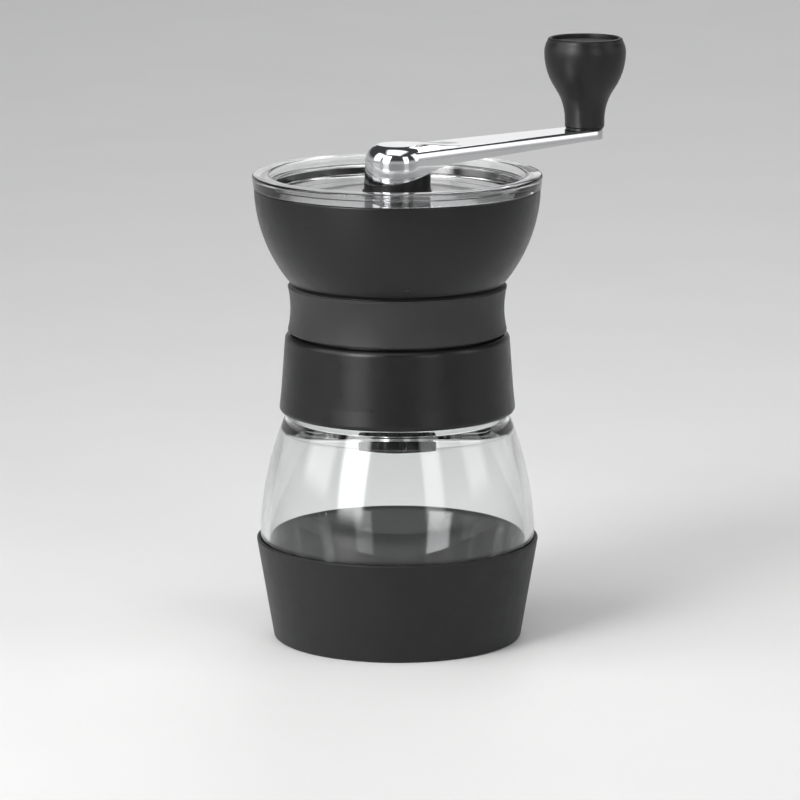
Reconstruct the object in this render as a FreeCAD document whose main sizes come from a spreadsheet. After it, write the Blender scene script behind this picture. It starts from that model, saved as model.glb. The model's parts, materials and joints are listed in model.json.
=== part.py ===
import FreeCAD, Part
import Sketcher
import math
import os

# Hand crank coffee grinder: a glass jar below, the burr housing and bean hopper above, a crank on top.
# Millimetres. The origin is on the grinder's axis at the bottom of the base boot, +Z is up, and the
# crank arm points along +X.

Vector = FreeCAD.Vector

# Driving dimensions: "_r" is a radius, "_tall" a height, "_fit" and "_gap" a clearance.
SIZES = {
    # Glass jar
    "jar_foot_r": 40.9,
    "jar_foot_round": 5.0,
    "jar_belly_r": 46.8,
    "jar_belly_rise": 31.0,
    "jar_shoulder_step": 3.7,
    "jar_shoulder_rise": 43.2,
    "jar_shoulder_drop": 4.2,
    "jar_floor": 4.5,
    "jar_wall": 3.0,
    "neck_r": 34.6,
    "neck_wall": 2.8,
    "neck_tall": 17.8,
    "neck_fillet": 0.8,
    "neck_rim_round": 0.8,
    # Jar thread, one start, right-handed
    "thread_lead": 5.0,
    "thread_turns": 1.3,
    "thread_deep": 1.5,
    "thread_root": 2.6,
    "thread_crest": 1.2,
    "thread_gap": 0.5,
    "thread_play": 0.25,
    "thread_rise": 6.3,
    "thread_bite": 0.3,
    # Base boot
    "boot_wall": 1.2,
    "boot_floor": 2.0,
    "boot_lip": 1.6,
    "boot_fit": 0.1,
    "boot_edge": 1.0,
    # Seal on the jar's mouth
    "seal_thick": 1.2,
    # Collar with its deck and burr tube
    "collar_foot_wall": 3.6,
    "collar_waist_wall": 2.9,
    "collar_waist_rise": 6.5,
    "collar_top_wall": 1.4,
    "collar_foot_edge": 1.4,
    "collar_shoulder": 2.2,
    "collar_gap": 0.15,
    "deck_thick": 3.0,
    "socket_deep": 5.0,
    "socket_wall": 2.7,
    "tube_wall": 2.3,
    "throat_r": 17.5,
    "key_wide": 4.0,
    "key_deep": 1.2,
    "key_fit": 0.1,
    "key_tall": 9.0,
    # Screws and their bosses
    "screw_r": 1.4,
    "screw_head_r": 2.7,
    "screw_head_tall": 1.6,
    "screw_slot_wide": 0.8,
    "screw_slot_deep": 0.7,
    "screw_fit": 0.05,
    "screw_tip_gap": 0.6,
    "deck_screw_bite": 8.0,
    "hopper_boss_r": 3.2,
    "hopper_boss_cover": 1.0,
    "retainer_screw_bite": 6.0,
    "tube_boss_r": 2.8,
    "tube_boss_sink": 1.0,
    # Hopper and its grip band
    "hopper_neck_fit": 0.1,
    "hopper_wall": 2.2,
    "hopper_rim_r": 48.4,
    "hopper_rim_edge": 0.6,
    "bowl_tall": 32.65,
    "bowl_round": 52.2,
    "bowl_step": 0.85,
    "funnel_lip": 0.7,
    "funnel_wall": 2.0,
    "throat_tall": 2.3,
    "band_gap": 0.8,
    "band_tall": 15.5,
    "band_thick": 1.95,
    "band_dip": 0.95,
    "band_fit": 0.05,
    "band_edge": 0.4,
    # Bearing spider and bushings
    "spider_ring_thick": 2.5,
    "spider_ring_in_r": 15.8,
    "spider_ring_gap": 2.5,
    "spider_post": 2.6,
    "spider_post_gap": 0.3,
    "spider_arm_wide": 4.0,
    "spider_arm_tall": 6.0,
    "spider_hub_r": 7.0,
    "spider_hub_rise": 4.3,
    "spider_hub_tall": 13.5,
    "bushing_wall": 1.2,
    "bushing_tall": 5.5,
    "bushing_flange": 1.0,
    "bushing_flange_r": 6.4,
    "bushing_fit": 0.05,
    "shaft_fit": 0.05,
    # Drive shaft with its clip and washers
    "shaft_r": 4.0,
    "shaft_flats": 6.4,
    "shaft_foot_long": 2.5,
    "shaft_hex": 6.6,
    "shaft_hex_tall": 11.0,
    "shaft_hex_chamfer": 0.5,
    "flats_run_out": 1.0,
    "clip_thick": 0.9,
    "clip_deep": 0.8,
    "clip_r": 6.2,
    "clip_mouth": 5.6,
    "clip_fit": 0.05,
    "washer_thick": 0.6,
    "washer_r": 6.6,
    "washer_fit": 0.2,
    # Burr spring
    "spring_wire_r": 0.6,
    "spring_mean_r": 5.5,
    # Burrs, carrier and click washer
    "outer_burr_r": 20.0,
    "outer_burr_tall": 18.0,
    "outer_burr_fit": 0.1,
    "outer_tooth_low_r": 17.8,
    "outer_tooth_high_r": 16.6,
    "outer_tooth_deep": 0.8,
    "retainer_thick": 2.0,
    "retainer_in_r": 18.9,
    "inner_burr_drop": 1.5,
    "inner_burr_tall": 17.0,
    "inner_skirt_tall": 2.5,
    "inner_skirt_r": 17.2,
    "inner_skirt_deep": 0.6,
    "inner_ridge_low_r": 16.4,
    "inner_ridge_high_r": 9.4,
    "inner_ridge_low_deep": 2.0,
    "inner_ridge_high_deep": 0.8,
    "carrier_sleeve_r": 7.0,
    "carrier_sleeve_tall": 6.5,
    "carrier_flange": 2.5,
    "carrier_flange_r": 13.5,
    "carrier_fit": 0.1,
    "carrier_slide_fit": 0.05,
    "detent_thick": 0.8,
    "detent_r": 12.0,
    "detent_hole_r": 0.8,
    "detent_circle": 9.0,
    "detent_fit": 0.4,
    # Adjuster dial
    "dial_r": 13.0,
    "dial_tall": 8.2,
    "dial_scallop_r": 1.8,
    "dial_scallop_out": 0.9,
    "dial_edge": 0.6,
    "nut_flats": 11.0,
    "nut_tall": 6.5,
    "nut_fit": 0.05,
    # Lid
    "lid_overhang": 0.8,
    "lid_rim_tall": 4.5,
    "lid_rim_wide": 5.8,
    "lid_wall": 1.8,
    "lid_fit": 0.35,
    "lid_skirt": 5.0,
    "lid_panel_drop": 5.85,
    "lid_ledge_drop": 2.7,
    "lid_ledge_wide": 1.8,
    "lid_draft": 0.5,
    "lid_edge": 0.7,
    "lid_recess_round": 1.3,
    "lid_hole_gap": 0.5,
    # Crank arm, hub core, knob pin and washer
    "crank_reach": 85.0,
    "arm_lift": 4.35,
    "arm_thick": 3.6,
    "arm_root_thick": 5.1,
    "arm_root_half": 8.0,
    "arm_end_r": 6.4,
    "arm_edge": 0.9,
    "hub_r": 11.2,
    "hub_shell": 1.8,
    "hub_skin": 2.2,
    "hub_rise": 1.85,
    "hub_draft": 0.4,
    "hub_flat_r": 6.9,
    "hub_dome": 5.5,
    "hub_show": 2.7,
    "slant_end": 15.0,
    "slant_round": 30.0,
    "core_drop": 2.1,
    "core_fit": 0.1,
    "core_hex_fit": 0.05,
    "core_hex_gap": 0.7,
    "pin_r": 2.5,
    "pin_fit": 0.05,
    "pin_head_r": 4.2,
    "pin_head_tall": 1.6,
    "pin_foot_tall": 1.0,
    "knob_washer_thick": 0.4,
    "knob_washer_r": 6.6,
    # Knob and its cap
    "knob_tall": 31.1,
    "knob_r": 14.2,
    "knob_neck_r": 6.9,
    "knob_neck_tall": 2.4,
    "knob_belly_rise": 26.0,
    "knob_flare_share": 0.46,
    "knob_rim_r": 13.1,
    "knob_rim_edge": 0.8,
    "knob_rim_wide": 1.5,
    "knob_run_gap": 0.1,
    "knob_run_fit": 0.08,
    "knob_head_fit": 0.4,
    "knob_web": 8.0,
    "knob_cap_sink": 1.4,
    "knob_cap_thick": 1.8,
    "knob_cap_dish": 0.5,
    "knob_cap_fit": 0.05,
}

# Counts and angles
SCREWS = 3
SPIDER_ARMS = 3
SPRING_TURNS = 6
OUTER_TEETH = 24
INNER_RIDGES = 12
SKIRT_TEETH = 36
RIDGE_TWIST = 20.0
CLICKS = 12
DIAL_SCALLOPS = 12
ARCS_A_TURN = 4
SAMPLES_A_TURN = 48
HALF = 0.5
CUT_MARGIN = 3.0
NEAR = 1e-3

doc = FreeCAD.newDocument("coffee_grinder")
sheet = doc.addObject("Spreadsheet::Sheet", "Sizes")
for row, (alias, number) in enumerate(SIZES.items(), start=1):
    sheet.set(f"A{row}", alias)
    sheet.set(f"B{row}", str(number))
    sheet.setAlias(f"B{row}", alias)
doc.recompute()
levels = doc.addObject("App::VarSet", "Levels")
pieces = {}


def value_of(size):
    """The number that a size has now."""
    return size.value if isinstance(size, Size) else float(size)


def formula_of(size):
    """The expression that gives a size."""
    return size.formula if isinstance(size, Size) else repr(float(size))


class Size:
    """A length tied to the sheet: its value now and the formula that keeps it."""

    def __init__(self, value, formula):
        self.value = value
        self.formula = formula

    def __add__(self, other):
        return Size(self.value + value_of(other), f"({self.formula} + {formula_of(other)})")

    def __sub__(self, other):
        return Size(self.value - value_of(other), f"({self.formula} - {formula_of(other)})")

    def __mul__(self, other):
        return Size(self.value * value_of(other), f"({self.formula} * {formula_of(other)})")

    def __truediv__(self, other):
        return Size(self.value / value_of(other), f"({self.formula} / {formula_of(other)})")

    def __neg__(self):
        return Size(-self.value, f"(0 - {self.formula})")


def root(size):
    """Square root of a size."""
    return Size(math.sqrt(size.value), f"sqrt({size.formula})")


def leg(long_side, short_side):
    """The other leg of a right triangle."""
    return root(long_side * long_side - short_side * short_side)


def arc_radius(rise, run):
    """Radius of an arc that starts along the run and ends one rise beside it."""
    return (rise * rise + run * run) / (rise * 2)


def level(name, size):
    """Keep a worked-out size under a name of its own."""
    levels.addProperty("App::PropertyFloat", name, "Levels")
    levels.setExpression(name, size.formula)
    return Size(size.value, f"Levels.{name}")


class Names:
    """The sheet's sizes by name."""

    def __getattr__(self, alias):
        return Size(float(sheet.get(alias)), f"Sizes.{alias}")


s = Names()

# Levels and radii that several pieces share, from the jar upwards
jar_foot_z = s.boot_floor
belly_z = level("belly_z", jar_foot_z + s.jar_belly_rise)
shoulder_z = level("shoulder_z", belly_z + s.jar_shoulder_rise)
jar_shoulder_r = level("jar_shoulder_r", s.neck_r + s.jar_shoulder_step)
side_round = level("side_round", arc_radius(s.jar_belly_r - jar_shoulder_r, s.jar_shoulder_rise))
side_lean = level("side_lean", s.jar_shoulder_rise / side_round)
side_upright = level("side_upright", (side_round - s.jar_belly_r + jar_shoulder_r) / side_round)
shoulder_round = level(
    "shoulder_round", (jar_shoulder_r - s.neck_r - s.neck_fillet) / side_upright
)
shoulder_top = level("shoulder_top", shoulder_z + shoulder_round - shoulder_round * side_lean)
rim_z = level("rim_z", shoulder_top + s.neck_tall)
mouth_r = level("mouth_r", s.neck_r - s.neck_wall)
thread_r = level("thread_r", s.neck_r + s.thread_deep)
collar_bore_r = level("collar_bore_r", thread_r + s.thread_gap)
collar_foot_r = level("collar_foot_r", collar_bore_r + s.collar_foot_wall)
collar_waist_r = level("collar_waist_r", collar_bore_r + s.collar_waist_wall)
collar_top_r = level("collar_top_r", collar_bore_r + s.collar_top_wall)
socket_r = level("socket_r", collar_top_r - s.socket_wall)
hopper_neck_r = level("hopper_neck_r", socket_r - s.hopper_neck_fit)
collar_foot_z = level("collar_foot_z", shoulder_top + s.collar_gap)
deck_under = level("deck_under", rim_z + s.seal_thick)
deck_top = level("deck_top", deck_under + s.deck_thick)
collar_top = level("collar_top", deck_top + s.socket_deep)
band_foot = level("band_foot", collar_top + s.band_gap)
band_top = level("band_top", band_foot + s.band_tall)
bowl_foot = level("bowl_foot", band_top + s.band_gap)
hopper_rim = level("hopper_rim", bowl_foot + s.bowl_tall)
lid_top = level("lid_top", hopper_rim + s.lid_rim_tall)
panel_top = level("panel_top", lid_top - s.lid_panel_drop)
panel_under = level("panel_under", panel_top - s.lid_wall)
arm_under = level("arm_under", lid_top + s.arm_lift)
arm_top = level("arm_top", arm_under + s.arm_thick)
root_under = level("root_under", arm_top - s.arm_root_thick)
hub_low = level("hub_low", panel_top + s.hub_show)
hub_top = level("hub_top", arm_top + s.hub_rise)
dome_r = level("dome_r", s.hub_r - s.hub_draft)
dome_foot = level("dome_foot", hub_top - leg(s.hub_dome, s.hub_flat_r - dome_r + s.hub_dome))
core_foot = level("core_foot", panel_top - s.core_drop)

# The bowl's arc: its centre from the two ends and the radius
bowl_foot_r = level("bowl_foot_r", hopper_neck_r + s.bowl_step)
bowl_run = level("bowl_run", s.hopper_rim_r - bowl_foot_r)
bowl_chord = level("bowl_chord", root(bowl_run * bowl_run + s.bowl_tall * s.bowl_tall))
bowl_back = level("bowl_back", leg(s.bowl_round, bowl_chord * HALF))
bowl_centre_r = level(
    "bowl_centre_r",
    (s.hopper_rim_r + bowl_foot_r) * HALF - bowl_back * s.bowl_tall / bowl_chord,
)
bowl_centre_z = level(
    "bowl_centre_z", (hopper_rim + bowl_foot) * HALF + bowl_back * bowl_run / bowl_chord
)
bowl_in_round = level("bowl_in_round", s.bowl_round - s.hopper_wall)

# The burr stack, from the collar's deck downwards
tube_bore_r = level("tube_bore_r", s.outer_burr_r + s.outer_burr_fit)
tube_r = level("tube_r", tube_bore_r + s.tube_wall)
deck_screw_circle = level("deck_screw_circle", (tube_r + mouth_r) * HALF)
outer_burr_foot = level("outer_burr_foot", deck_under - s.outer_burr_tall)
retainer_foot = level("retainer_foot", outer_burr_foot - s.retainer_thick)
tube_boss_circle = level("tube_boss_circle", tube_r + s.tube_boss_r - s.tube_boss_sink)
inner_burr_foot = level("inner_burr_foot", outer_burr_foot - s.inner_burr_drop)
inner_skirt_top = level("inner_skirt_top", inner_burr_foot + s.inner_skirt_tall)
inner_burr_top = level("inner_burr_top", inner_burr_foot + s.inner_burr_tall)
carrier_foot = level("carrier_foot", inner_burr_foot - s.carrier_flange)
carrier_top = level("carrier_top", inner_burr_foot + s.carrier_sleeve_tall)
dial_top = level("dial_top", carrier_foot - s.detent_thick)
dial_foot = level("dial_foot", dial_top - s.dial_tall)
shaft_foot = level("shaft_foot", dial_foot - s.shaft_foot_long)

# The shaft's bearings, from the collar's deck upwards
spider_ring_top = level("spider_ring_top", deck_top + s.spider_ring_thick)
spider_hub_foot = level("spider_hub_foot", deck_top + s.spider_hub_rise)
spider_hub_top = level("spider_hub_top", spider_hub_foot + s.spider_hub_tall)
bushing_bore_r = level("bushing_bore_r", s.shaft_r + s.shaft_fit)
bushing_r = level("bushing_r", bushing_bore_r + s.bushing_wall)
spider_bore_r = level("spider_bore_r", bushing_r + s.bushing_fit)
thrust_foot = level("thrust_foot", spider_hub_top + s.bushing_flange)
clip_foot = level("clip_foot", thrust_foot + s.washer_thick)
clip_groove_r = level("clip_groove_r", s.shaft_r - s.clip_deep)
spring_top = level("spring_top", spider_hub_foot - s.bushing_flange - s.washer_thick)
washer_bore_r = level("washer_bore_r", s.shaft_r + s.washer_fit)
hex_top = level("hex_top", core_foot + s.shaft_hex_tall)
screw_hole_r = level("screw_hole_r", s.screw_r + s.screw_fit)

# The knob's stack
knob_foot = level("knob_foot", arm_top + s.knob_washer_thick + s.knob_run_gap)
knob_top = level("knob_top", knob_foot + s.knob_tall)
knob_cap_top = level("knob_cap_top", knob_top - s.knob_cap_sink)
knob_cap_foot = level("knob_cap_foot", knob_cap_top - s.knob_cap_thick)
knob_cap_r = level("knob_cap_r", s.knob_rim_r - s.knob_rim_wide)
knob_shoulder = level("knob_shoulder", knob_cap_foot - s.knob_web)
pin_head_foot = level("pin_head_foot", knob_shoulder + s.knob_head_fit)
doc.recompute()


# Sketches and features
def new_body(label):
    """Start a piece."""
    body = doc.addObject("PartDesign::Body", label)
    body.Label = label
    pieces[label] = body
    return body


def origin_feature(body, role):
    """One of a body's own origin planes or axes."""
    return next(feature for feature in body.Origin.OriginFeatures if feature.Role == role)


def new_sketch(body, name, role, height=None):
    """A sketch on one of the body's origin planes, raised by a height."""
    sketch = body.newObject("Sketcher::SketchObject", f"{body.Label}_{name}")
    sketch.AttachmentSupport = [(origin_feature(body, role), "")]
    sketch.MapMode = "FlatFace"
    if height is not None:
        sketch.setExpression("AttachmentOffset.Base.z", formula_of(height))
    return sketch


def tie(sketch, index, name, size):
    """Bind a dimension to its formula."""
    if isinstance(size, Size):
        sketch.renameConstraint(index, name)
        sketch.setExpression(f"Constraints.{name}", size.formula)


def fix_point(sketch, geometry, vertex, across, up):
    """Hold a point by its two distances from the sketch's origin."""
    tag = sketch.ConstraintCount
    for kind, axis, size in (("DistanceX", -2, across), ("DistanceY", -1, up)):
        if not isinstance(size, Size) and size == 0:
            sketch.addConstraint(Sketcher.Constraint("PointOnObject", geometry, vertex, axis))
            continue
        rule = Sketcher.Constraint(kind, -1, 1, geometry, vertex, value_of(size))
        tie(sketch, sketch.addConstraint(rule), f"{kind}_{tag}", size)


def fix_radius(sketch, geometry, size):
    """Hold the radius of an arc or circle."""
    index = sketch.addConstraint(Sketcher.Constraint("Radius", geometry, abs(value_of(size))))
    tie(sketch, index, f"radius_{index}", size if value_of(size) > 0 else -size)


def draw_run(sketch, here, there):
    """A straight or bent run between two corners, as its geometry, first and last vertex."""
    start = Vector(value_of(here[0]), value_of(here[1]), 0)
    finish = Vector(value_of(there[0]), value_of(there[1]), 0)
    if len(here) == 2:
        return sketch.addGeometry(Part.LineSegment(start, finish), False), 1, 2
    radius = value_of(here[2])
    chord = finish - start
    left = Vector(-chord.y, chord.x, 0).normalize()
    back = math.copysign(math.sqrt(radius * radius - chord.Length ** 2 / 4), radius)
    centre = (start + finish) * HALF + left * back
    first, last = (start, finish) if radius > 0 else (finish, start)
    begin = math.atan2(first.y - centre.y, first.x - centre.x)
    end = math.atan2(last.y - centre.y, last.x - centre.x)
    circle = Part.Circle(centre, Vector(0, 0, 1), abs(radius))
    geometry = sketch.addGeometry(Part.ArcOfCircle(circle, begin, end), False)
    fix_radius(sketch, geometry, here[2])
    return (geometry, 1, 2) if radius > 0 else (geometry, 2, 1)


def draw_outline(sketch, corners):
    """Close a ring of corners: (across, up), with a radius third where the next run is an arc.

    A positive radius has its centre to the left of travel, a negative one to the right.
    """
    following = corners[1:] + corners[:1]
    runs = [draw_run(sketch, here, there) for here, there in zip(corners, following)]
    for number, (corner, run) in enumerate(zip(corners, runs)):
        before = runs[number - 1]
        sketch.addConstraint(Sketcher.Constraint("Coincident", before[0], before[2], run[0], run[1]))
        fix_point(sketch, run[0], run[1], corner[0], corner[1])


def draw_circle(sketch, radius, across=0, up=0):
    """A full circle."""
    centre = Vector(value_of(across), value_of(up), 0)
    circle = Part.Circle(centre, Vector(0, 0, 1), value_of(radius))
    geometry = sketch.addGeometry(circle, False)
    fix_point(sketch, geometry, 3, across, up)
    fix_radius(sketch, geometry, radius)


def box_corners(left, right, low, high):
    """The four corners of a rectangle."""
    return [(left, low), (right, low), (right, high), (left, high)]


def hexagon(flats):
    """The six corners of a hexagon, with two of its flats across the sketch's Y axis."""
    half = flats * HALF
    tip = flats / math.sqrt(3)
    side = tip * HALF
    return [(tip, 0), (side, half), (-side, half), (-tip, 0), (-side, -half), (side, -half)]


def star(out_r, in_r, points):
    """A ring of teeth with straight flanks."""
    corners = []
    for number in range(2 * points):
        angle = math.pi * (number + HALF) / points
        radius = in_r if number % 2 else out_r
        corners.append((radius * math.cos(angle), radius * math.sin(angle)))
    return corners


def finish_feature(feature, adds):
    """Recompute a feature and stop if it changed the solid the wrong way."""
    before = feature.BaseFeature.Shape.Volume if feature.BaseFeature else 0.0
    doc.recompute()
    if (feature.Shape.Volume > before) != adds or feature.Shape.Volume == before:
        raise RuntimeError(f"{feature.Name} changed nothing or worked the wrong way")
    return feature


def turn(body, name, corners, adds=True):
    """Turn an outline of (radius, height) about the body's axis."""
    sketch = new_sketch(body, f"{name}_outline", "XZ_Plane")
    draw_outline(sketch, corners)
    kind = "PartDesign::Revolution" if adds else "PartDesign::Groove"
    feature = body.newObject(kind, f"{body.Label}_{name}")
    feature.Profile = sketch
    feature.ReferenceAxis = (sketch, ["V_Axis"])
    feature.Angle = 360
    return finish_feature(feature, adds)


def extrude(body, name, sketch, length, adds=True, both_ways=False, upwards=True):
    """Pad or pocket a sketch, along its normal, against it or half to each side."""
    kind = "PartDesign::Pad" if adds else "PartDesign::Pocket"
    feature = body.newObject(kind, f"{body.Label}_{name}")
    feature.Profile = sketch
    feature.setExpression("Length", formula_of(length))
    feature.Midplane = both_ways
    feature.Reversed = upwards != adds
    return finish_feature(feature, adds)


def ring_of(body, name, feature, count):
    """Repeat a feature evenly round the body's axis."""
    pattern = body.newObject("PartDesign::PolarPattern", f"{body.Label}_{name}")
    pattern.Originals = [feature]
    pattern.Axis = (origin_feature(body, "Z_Axis"), [""])
    pattern.Angle = 360
    pattern.Occurrences = count
    body.Tip = pattern
    doc.recompute()
    return pattern


def loft(body, name, low, high, adds=True):
    """A straight-ruled loft between two sketches."""
    kind = "PartDesign::AdditiveLoft" if adds else "PartDesign::SubtractiveLoft"
    feature = body.newObject(kind, f"{body.Label}_{name}")
    feature.Profile = low
    feature.Sections = [high]
    feature.Ruled = True
    return finish_feature(feature, adds)


def round_edges(body, name, radius, wanted):
    """Round those edges of the body so far that a test picks."""
    base = body.Tip
    edges = [f"Edge{number}" for number, edge in enumerate(base.Shape.Edges, start=1) if wanted(edge)]
    if not edges:
        raise RuntimeError(f"{body.Label}_{name} found no edge")
    feature = body.newObject("PartDesign::Fillet", f"{body.Label}_{name}")
    feature.Base = (base, edges)
    feature.setExpression("Radius", formula_of(radius))
    doc.recompute()
    return feature


def circle_at(radius, height):
    """A test for the edge circle of a radius about the axis at a height."""
    def test(edge):
        curve = edge.Curve
        if not isinstance(curve, Part.Circle):
            return False
        right_size = abs(curve.Radius - value_of(radius)) < NEAR
        return right_size and abs(curve.Center.z - value_of(height)) < NEAR

    return test


def thread(body, root_r, crest_r, height):
    """Add the thread's ridge, whose middle starts at a height on the +X side."""
    sketch = new_sketch(body, "thread_outline", "XZ_Plane")
    half_root = s.thread_root * HALF
    half_crest = s.thread_crest * HALF
    corners = [
        (root_r, height - half_root),
        (crest_r, height - half_crest),
        (crest_r, height + half_crest),
        (root_r, height + half_root),
    ]
    if value_of(crest_r) < value_of(root_r):
        corners.reverse()
    draw_outline(sketch, corners)
    ridge = body.newObject("PartDesign::AdditiveHelix", f"{body.Label}_thread")
    ridge.Profile = sketch
    ridge.ReferenceAxis = (sketch, ["V_Axis"])
    ridge.Mode = "pitch-turns-angle"
    ridge.setExpression("Pitch", s.thread_lead.formula)
    ridge.setExpression("Turns", s.thread_turns.formula)
    finish_feature(ridge, True)


# Glass jar, boot and seal
def side_r(height, wall=0):
    """Radius of the jar's curved side at a height above its belly, less a wall."""
    return s.jar_belly_r - side_round + leg(side_round - wall, height - belly_z)


def make_jar():
    """Blown glass jar with a threaded neck."""
    body = new_body("jar")
    floor_top = jar_foot_z + s.jar_floor
    inner_top = shoulder_z - s.jar_shoulder_drop
    inner_top_r = side_r(inner_top, s.jar_wall)
    inner_foot_r = s.jar_foot_r - s.jar_wall
    turn(body, "glass", [
        (0, jar_foot_z),
        (s.jar_foot_r, jar_foot_z),
        (s.jar_belly_r, belly_z, side_round),
        (jar_shoulder_r, shoulder_z, shoulder_round),
        (s.neck_r + s.neck_fillet, shoulder_top, -s.neck_fillet),
        (s.neck_r, shoulder_top + s.neck_fillet),
        (s.neck_r, rim_z),
        (mouth_r, rim_z),
        (mouth_r, inner_top + inner_top_r - mouth_r),
        (inner_top_r, inner_top, s.jar_wall - side_round),
        (s.jar_belly_r - s.jar_wall, belly_z),
        (inner_foot_r, floor_top),
        (0, floor_top),
    ])
    round_edges(body, "foot_round", s.jar_foot_round, circle_at(s.jar_foot_r, jar_foot_z))
    round_edges(body, "well_round", s.jar_foot_round, circle_at(inner_foot_r, floor_top))
    round_edges(body, "rim_out_round", s.neck_rim_round, circle_at(s.neck_r, rim_z))
    round_edges(body, "rim_in_round", s.neck_rim_round, circle_at(mouth_r, rim_z))
    thread(body, s.neck_r - s.thread_bite, thread_r, shoulder_top + s.thread_rise)


def make_base_boot():
    """Silicone boot stretched over the jar's foot, up to just past its belly."""
    body = new_body("base_boot")
    well_r = s.jar_foot_r + s.boot_fit
    lip_in_r = s.jar_belly_r + s.boot_fit
    lip_z = belly_z + s.boot_lip
    turn(body, "shell", [
        (0, 0),
        (well_r + s.boot_wall, 0),
        (lip_in_r + s.boot_wall, lip_z),
        (lip_in_r, lip_z),
        (lip_in_r, belly_z),
        (well_r, jar_foot_z),
        (0, jar_foot_z),
    ])
    round_edges(body, "foot_round", s.boot_edge, circle_at(well_r + s.boot_wall, 0))
    round_edges(body, "well_round", s.jar_foot_round, circle_at(well_r, jar_foot_z))


def make_jar_seal():
    """Flat ring between the jar's mouth and the collar's deck."""
    body = new_body("jar_seal")
    turn(body, "ring", box_corners(mouth_r, s.neck_r, rim_z, deck_under))


# Collar, hopper and grip band
def make_collar():
    """Threaded collar whose deck carries the burr tube and the hopper."""
    body = new_body("collar")
    turn(body, "shell", [
        (collar_bore_r, collar_foot_z),
        (collar_foot_r, collar_foot_z),
        (collar_waist_r, collar_foot_z + s.collar_waist_rise),
        (collar_top_r, collar_top),
        (socket_r, collar_top),
        (socket_r, deck_top),
        (s.throat_r, deck_top),
        (s.throat_r, deck_under),
        (tube_bore_r, deck_under),
        (tube_bore_r, outer_burr_foot),
        (tube_r, outer_burr_foot),
        (tube_r, deck_under),
        (collar_bore_r, deck_under),
    ])
    round_edges(body, "foot_round", s.collar_foot_edge, circle_at(collar_foot_r, collar_foot_z))
    round_edges(body, "shoulder", s.collar_shoulder, circle_at(collar_top_r, collar_top))
    boss = new_sketch(body, "boss_outline", "XY_Plane", outer_burr_foot)
    draw_circle(boss, s.tube_boss_r, tube_boss_circle)
    boss_pad = extrude(body, "boss", boss, s.outer_burr_tall)
    ring_of(body, "bosses", boss_pad, SCREWS)
    pilot = new_sketch(body, "pilot_outline", "XY_Plane", outer_burr_foot)
    draw_circle(pilot, screw_hole_r, tube_boss_circle)
    deep = s.retainer_screw_bite + s.screw_tip_gap
    ring_of(body, "pilots", extrude(body, "pilot", pilot, deep, adds=False), SCREWS)
    hole = new_sketch(body, "screw_hole_outline", "XY_Plane", deck_under)
    draw_circle(hole, screw_hole_r, -deck_screw_circle)
    ring_of(body, "screw_holes", extrude(body, "screw_hole", hole, s.deck_thick, adds=False), SCREWS)
    key = new_sketch(body, "key_outline", "XY_Plane", deck_under - s.key_tall)
    half_key = s.key_wide * HALF
    draw_outline(key, box_corners(
        -(tube_bore_r + s.tube_wall * HALF), s.key_deep - tube_bore_r, -half_key, half_key
    ))
    ring_of(body, "keys", extrude(body, "key", key, s.key_tall), SCREWS)
    lower_ridge = flank_distance() + s.thread_play
    thread(
        body, collar_bore_r + s.thread_bite, s.neck_r + s.thread_gap,
        shoulder_top + s.thread_rise - lower_ridge,
    )


def flank_distance():
    """Height between the middles of the two thread ridges when their flanks meet."""
    slope = (s.thread_root - s.thread_crest) * HALF / (s.thread_deep + s.thread_bite)
    return (s.thread_root + s.thread_crest) * HALF - slope * (s.thread_gap + s.thread_bite)


def bowl_r(height):
    """Radius of the bowl's inside at a height."""
    return bowl_centre_r + leg(bowl_in_round, height - bowl_centre_z)


def make_hopper():
    """Bean bowl with its neck and funnel."""
    body = new_body("hopper")
    funnel_top = level("funnel_top", bowl_foot + s.funnel_lip)
    funnel_foot = level("funnel_foot", spider_ring_top + s.throat_tall)
    funnel_top_r = level("funnel_top_r", bowl_r(funnel_top))
    fall = level("funnel_fall", (funnel_top - funnel_foot) / (funnel_top_r - s.throat_r))
    thick = level("funnel_thick", s.funnel_wall * root(fall * fall + 1))
    skirt_in_r = hopper_neck_r - s.hopper_wall
    foot_r = s.throat_r + s.funnel_wall
    turn(body, "bowl", [
        (bowl_r(hopper_rim), hopper_rim, -bowl_in_round),
        (funnel_top_r, funnel_top),
        (s.throat_r, funnel_foot),
        (s.throat_r, spider_ring_top),
        (foot_r, spider_ring_top),
        (foot_r, funnel_foot + fall * s.funnel_wall - thick),
        (skirt_in_r, funnel_foot + fall * (skirt_in_r - s.throat_r) - thick),
        (skirt_in_r, deck_top),
        (hopper_neck_r, deck_top),
        (hopper_neck_r, bowl_foot),
        (bowl_foot_r, bowl_foot, s.bowl_round),
        (s.hopper_rim_r, hopper_rim),
    ])
    round_edges(body, "rim_round", s.hopper_rim_edge, circle_at(s.hopper_rim_r, hopper_rim))
    boss = new_sketch(body, "boss_outline", "XY_Plane", deck_top)
    draw_circle(boss, s.hopper_boss_r, -deck_screw_circle)
    boss_reach = deck_screw_circle - s.hopper_boss_r - s.throat_r
    boss_top = funnel_foot + fall * boss_reach - s.hopper_boss_cover
    ring_of(body, "bosses", extrude(body, "boss", boss, boss_top - deck_top), SCREWS)
    pilot = new_sketch(body, "pilot_outline", "XY_Plane", deck_top)
    draw_circle(pilot, screw_hole_r, -deck_screw_circle)
    deep = s.deck_screw_bite + s.screw_tip_gap
    ring_of(body, "pilots", extrude(body, "pilot", pilot, deep, adds=False), SCREWS)


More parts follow.
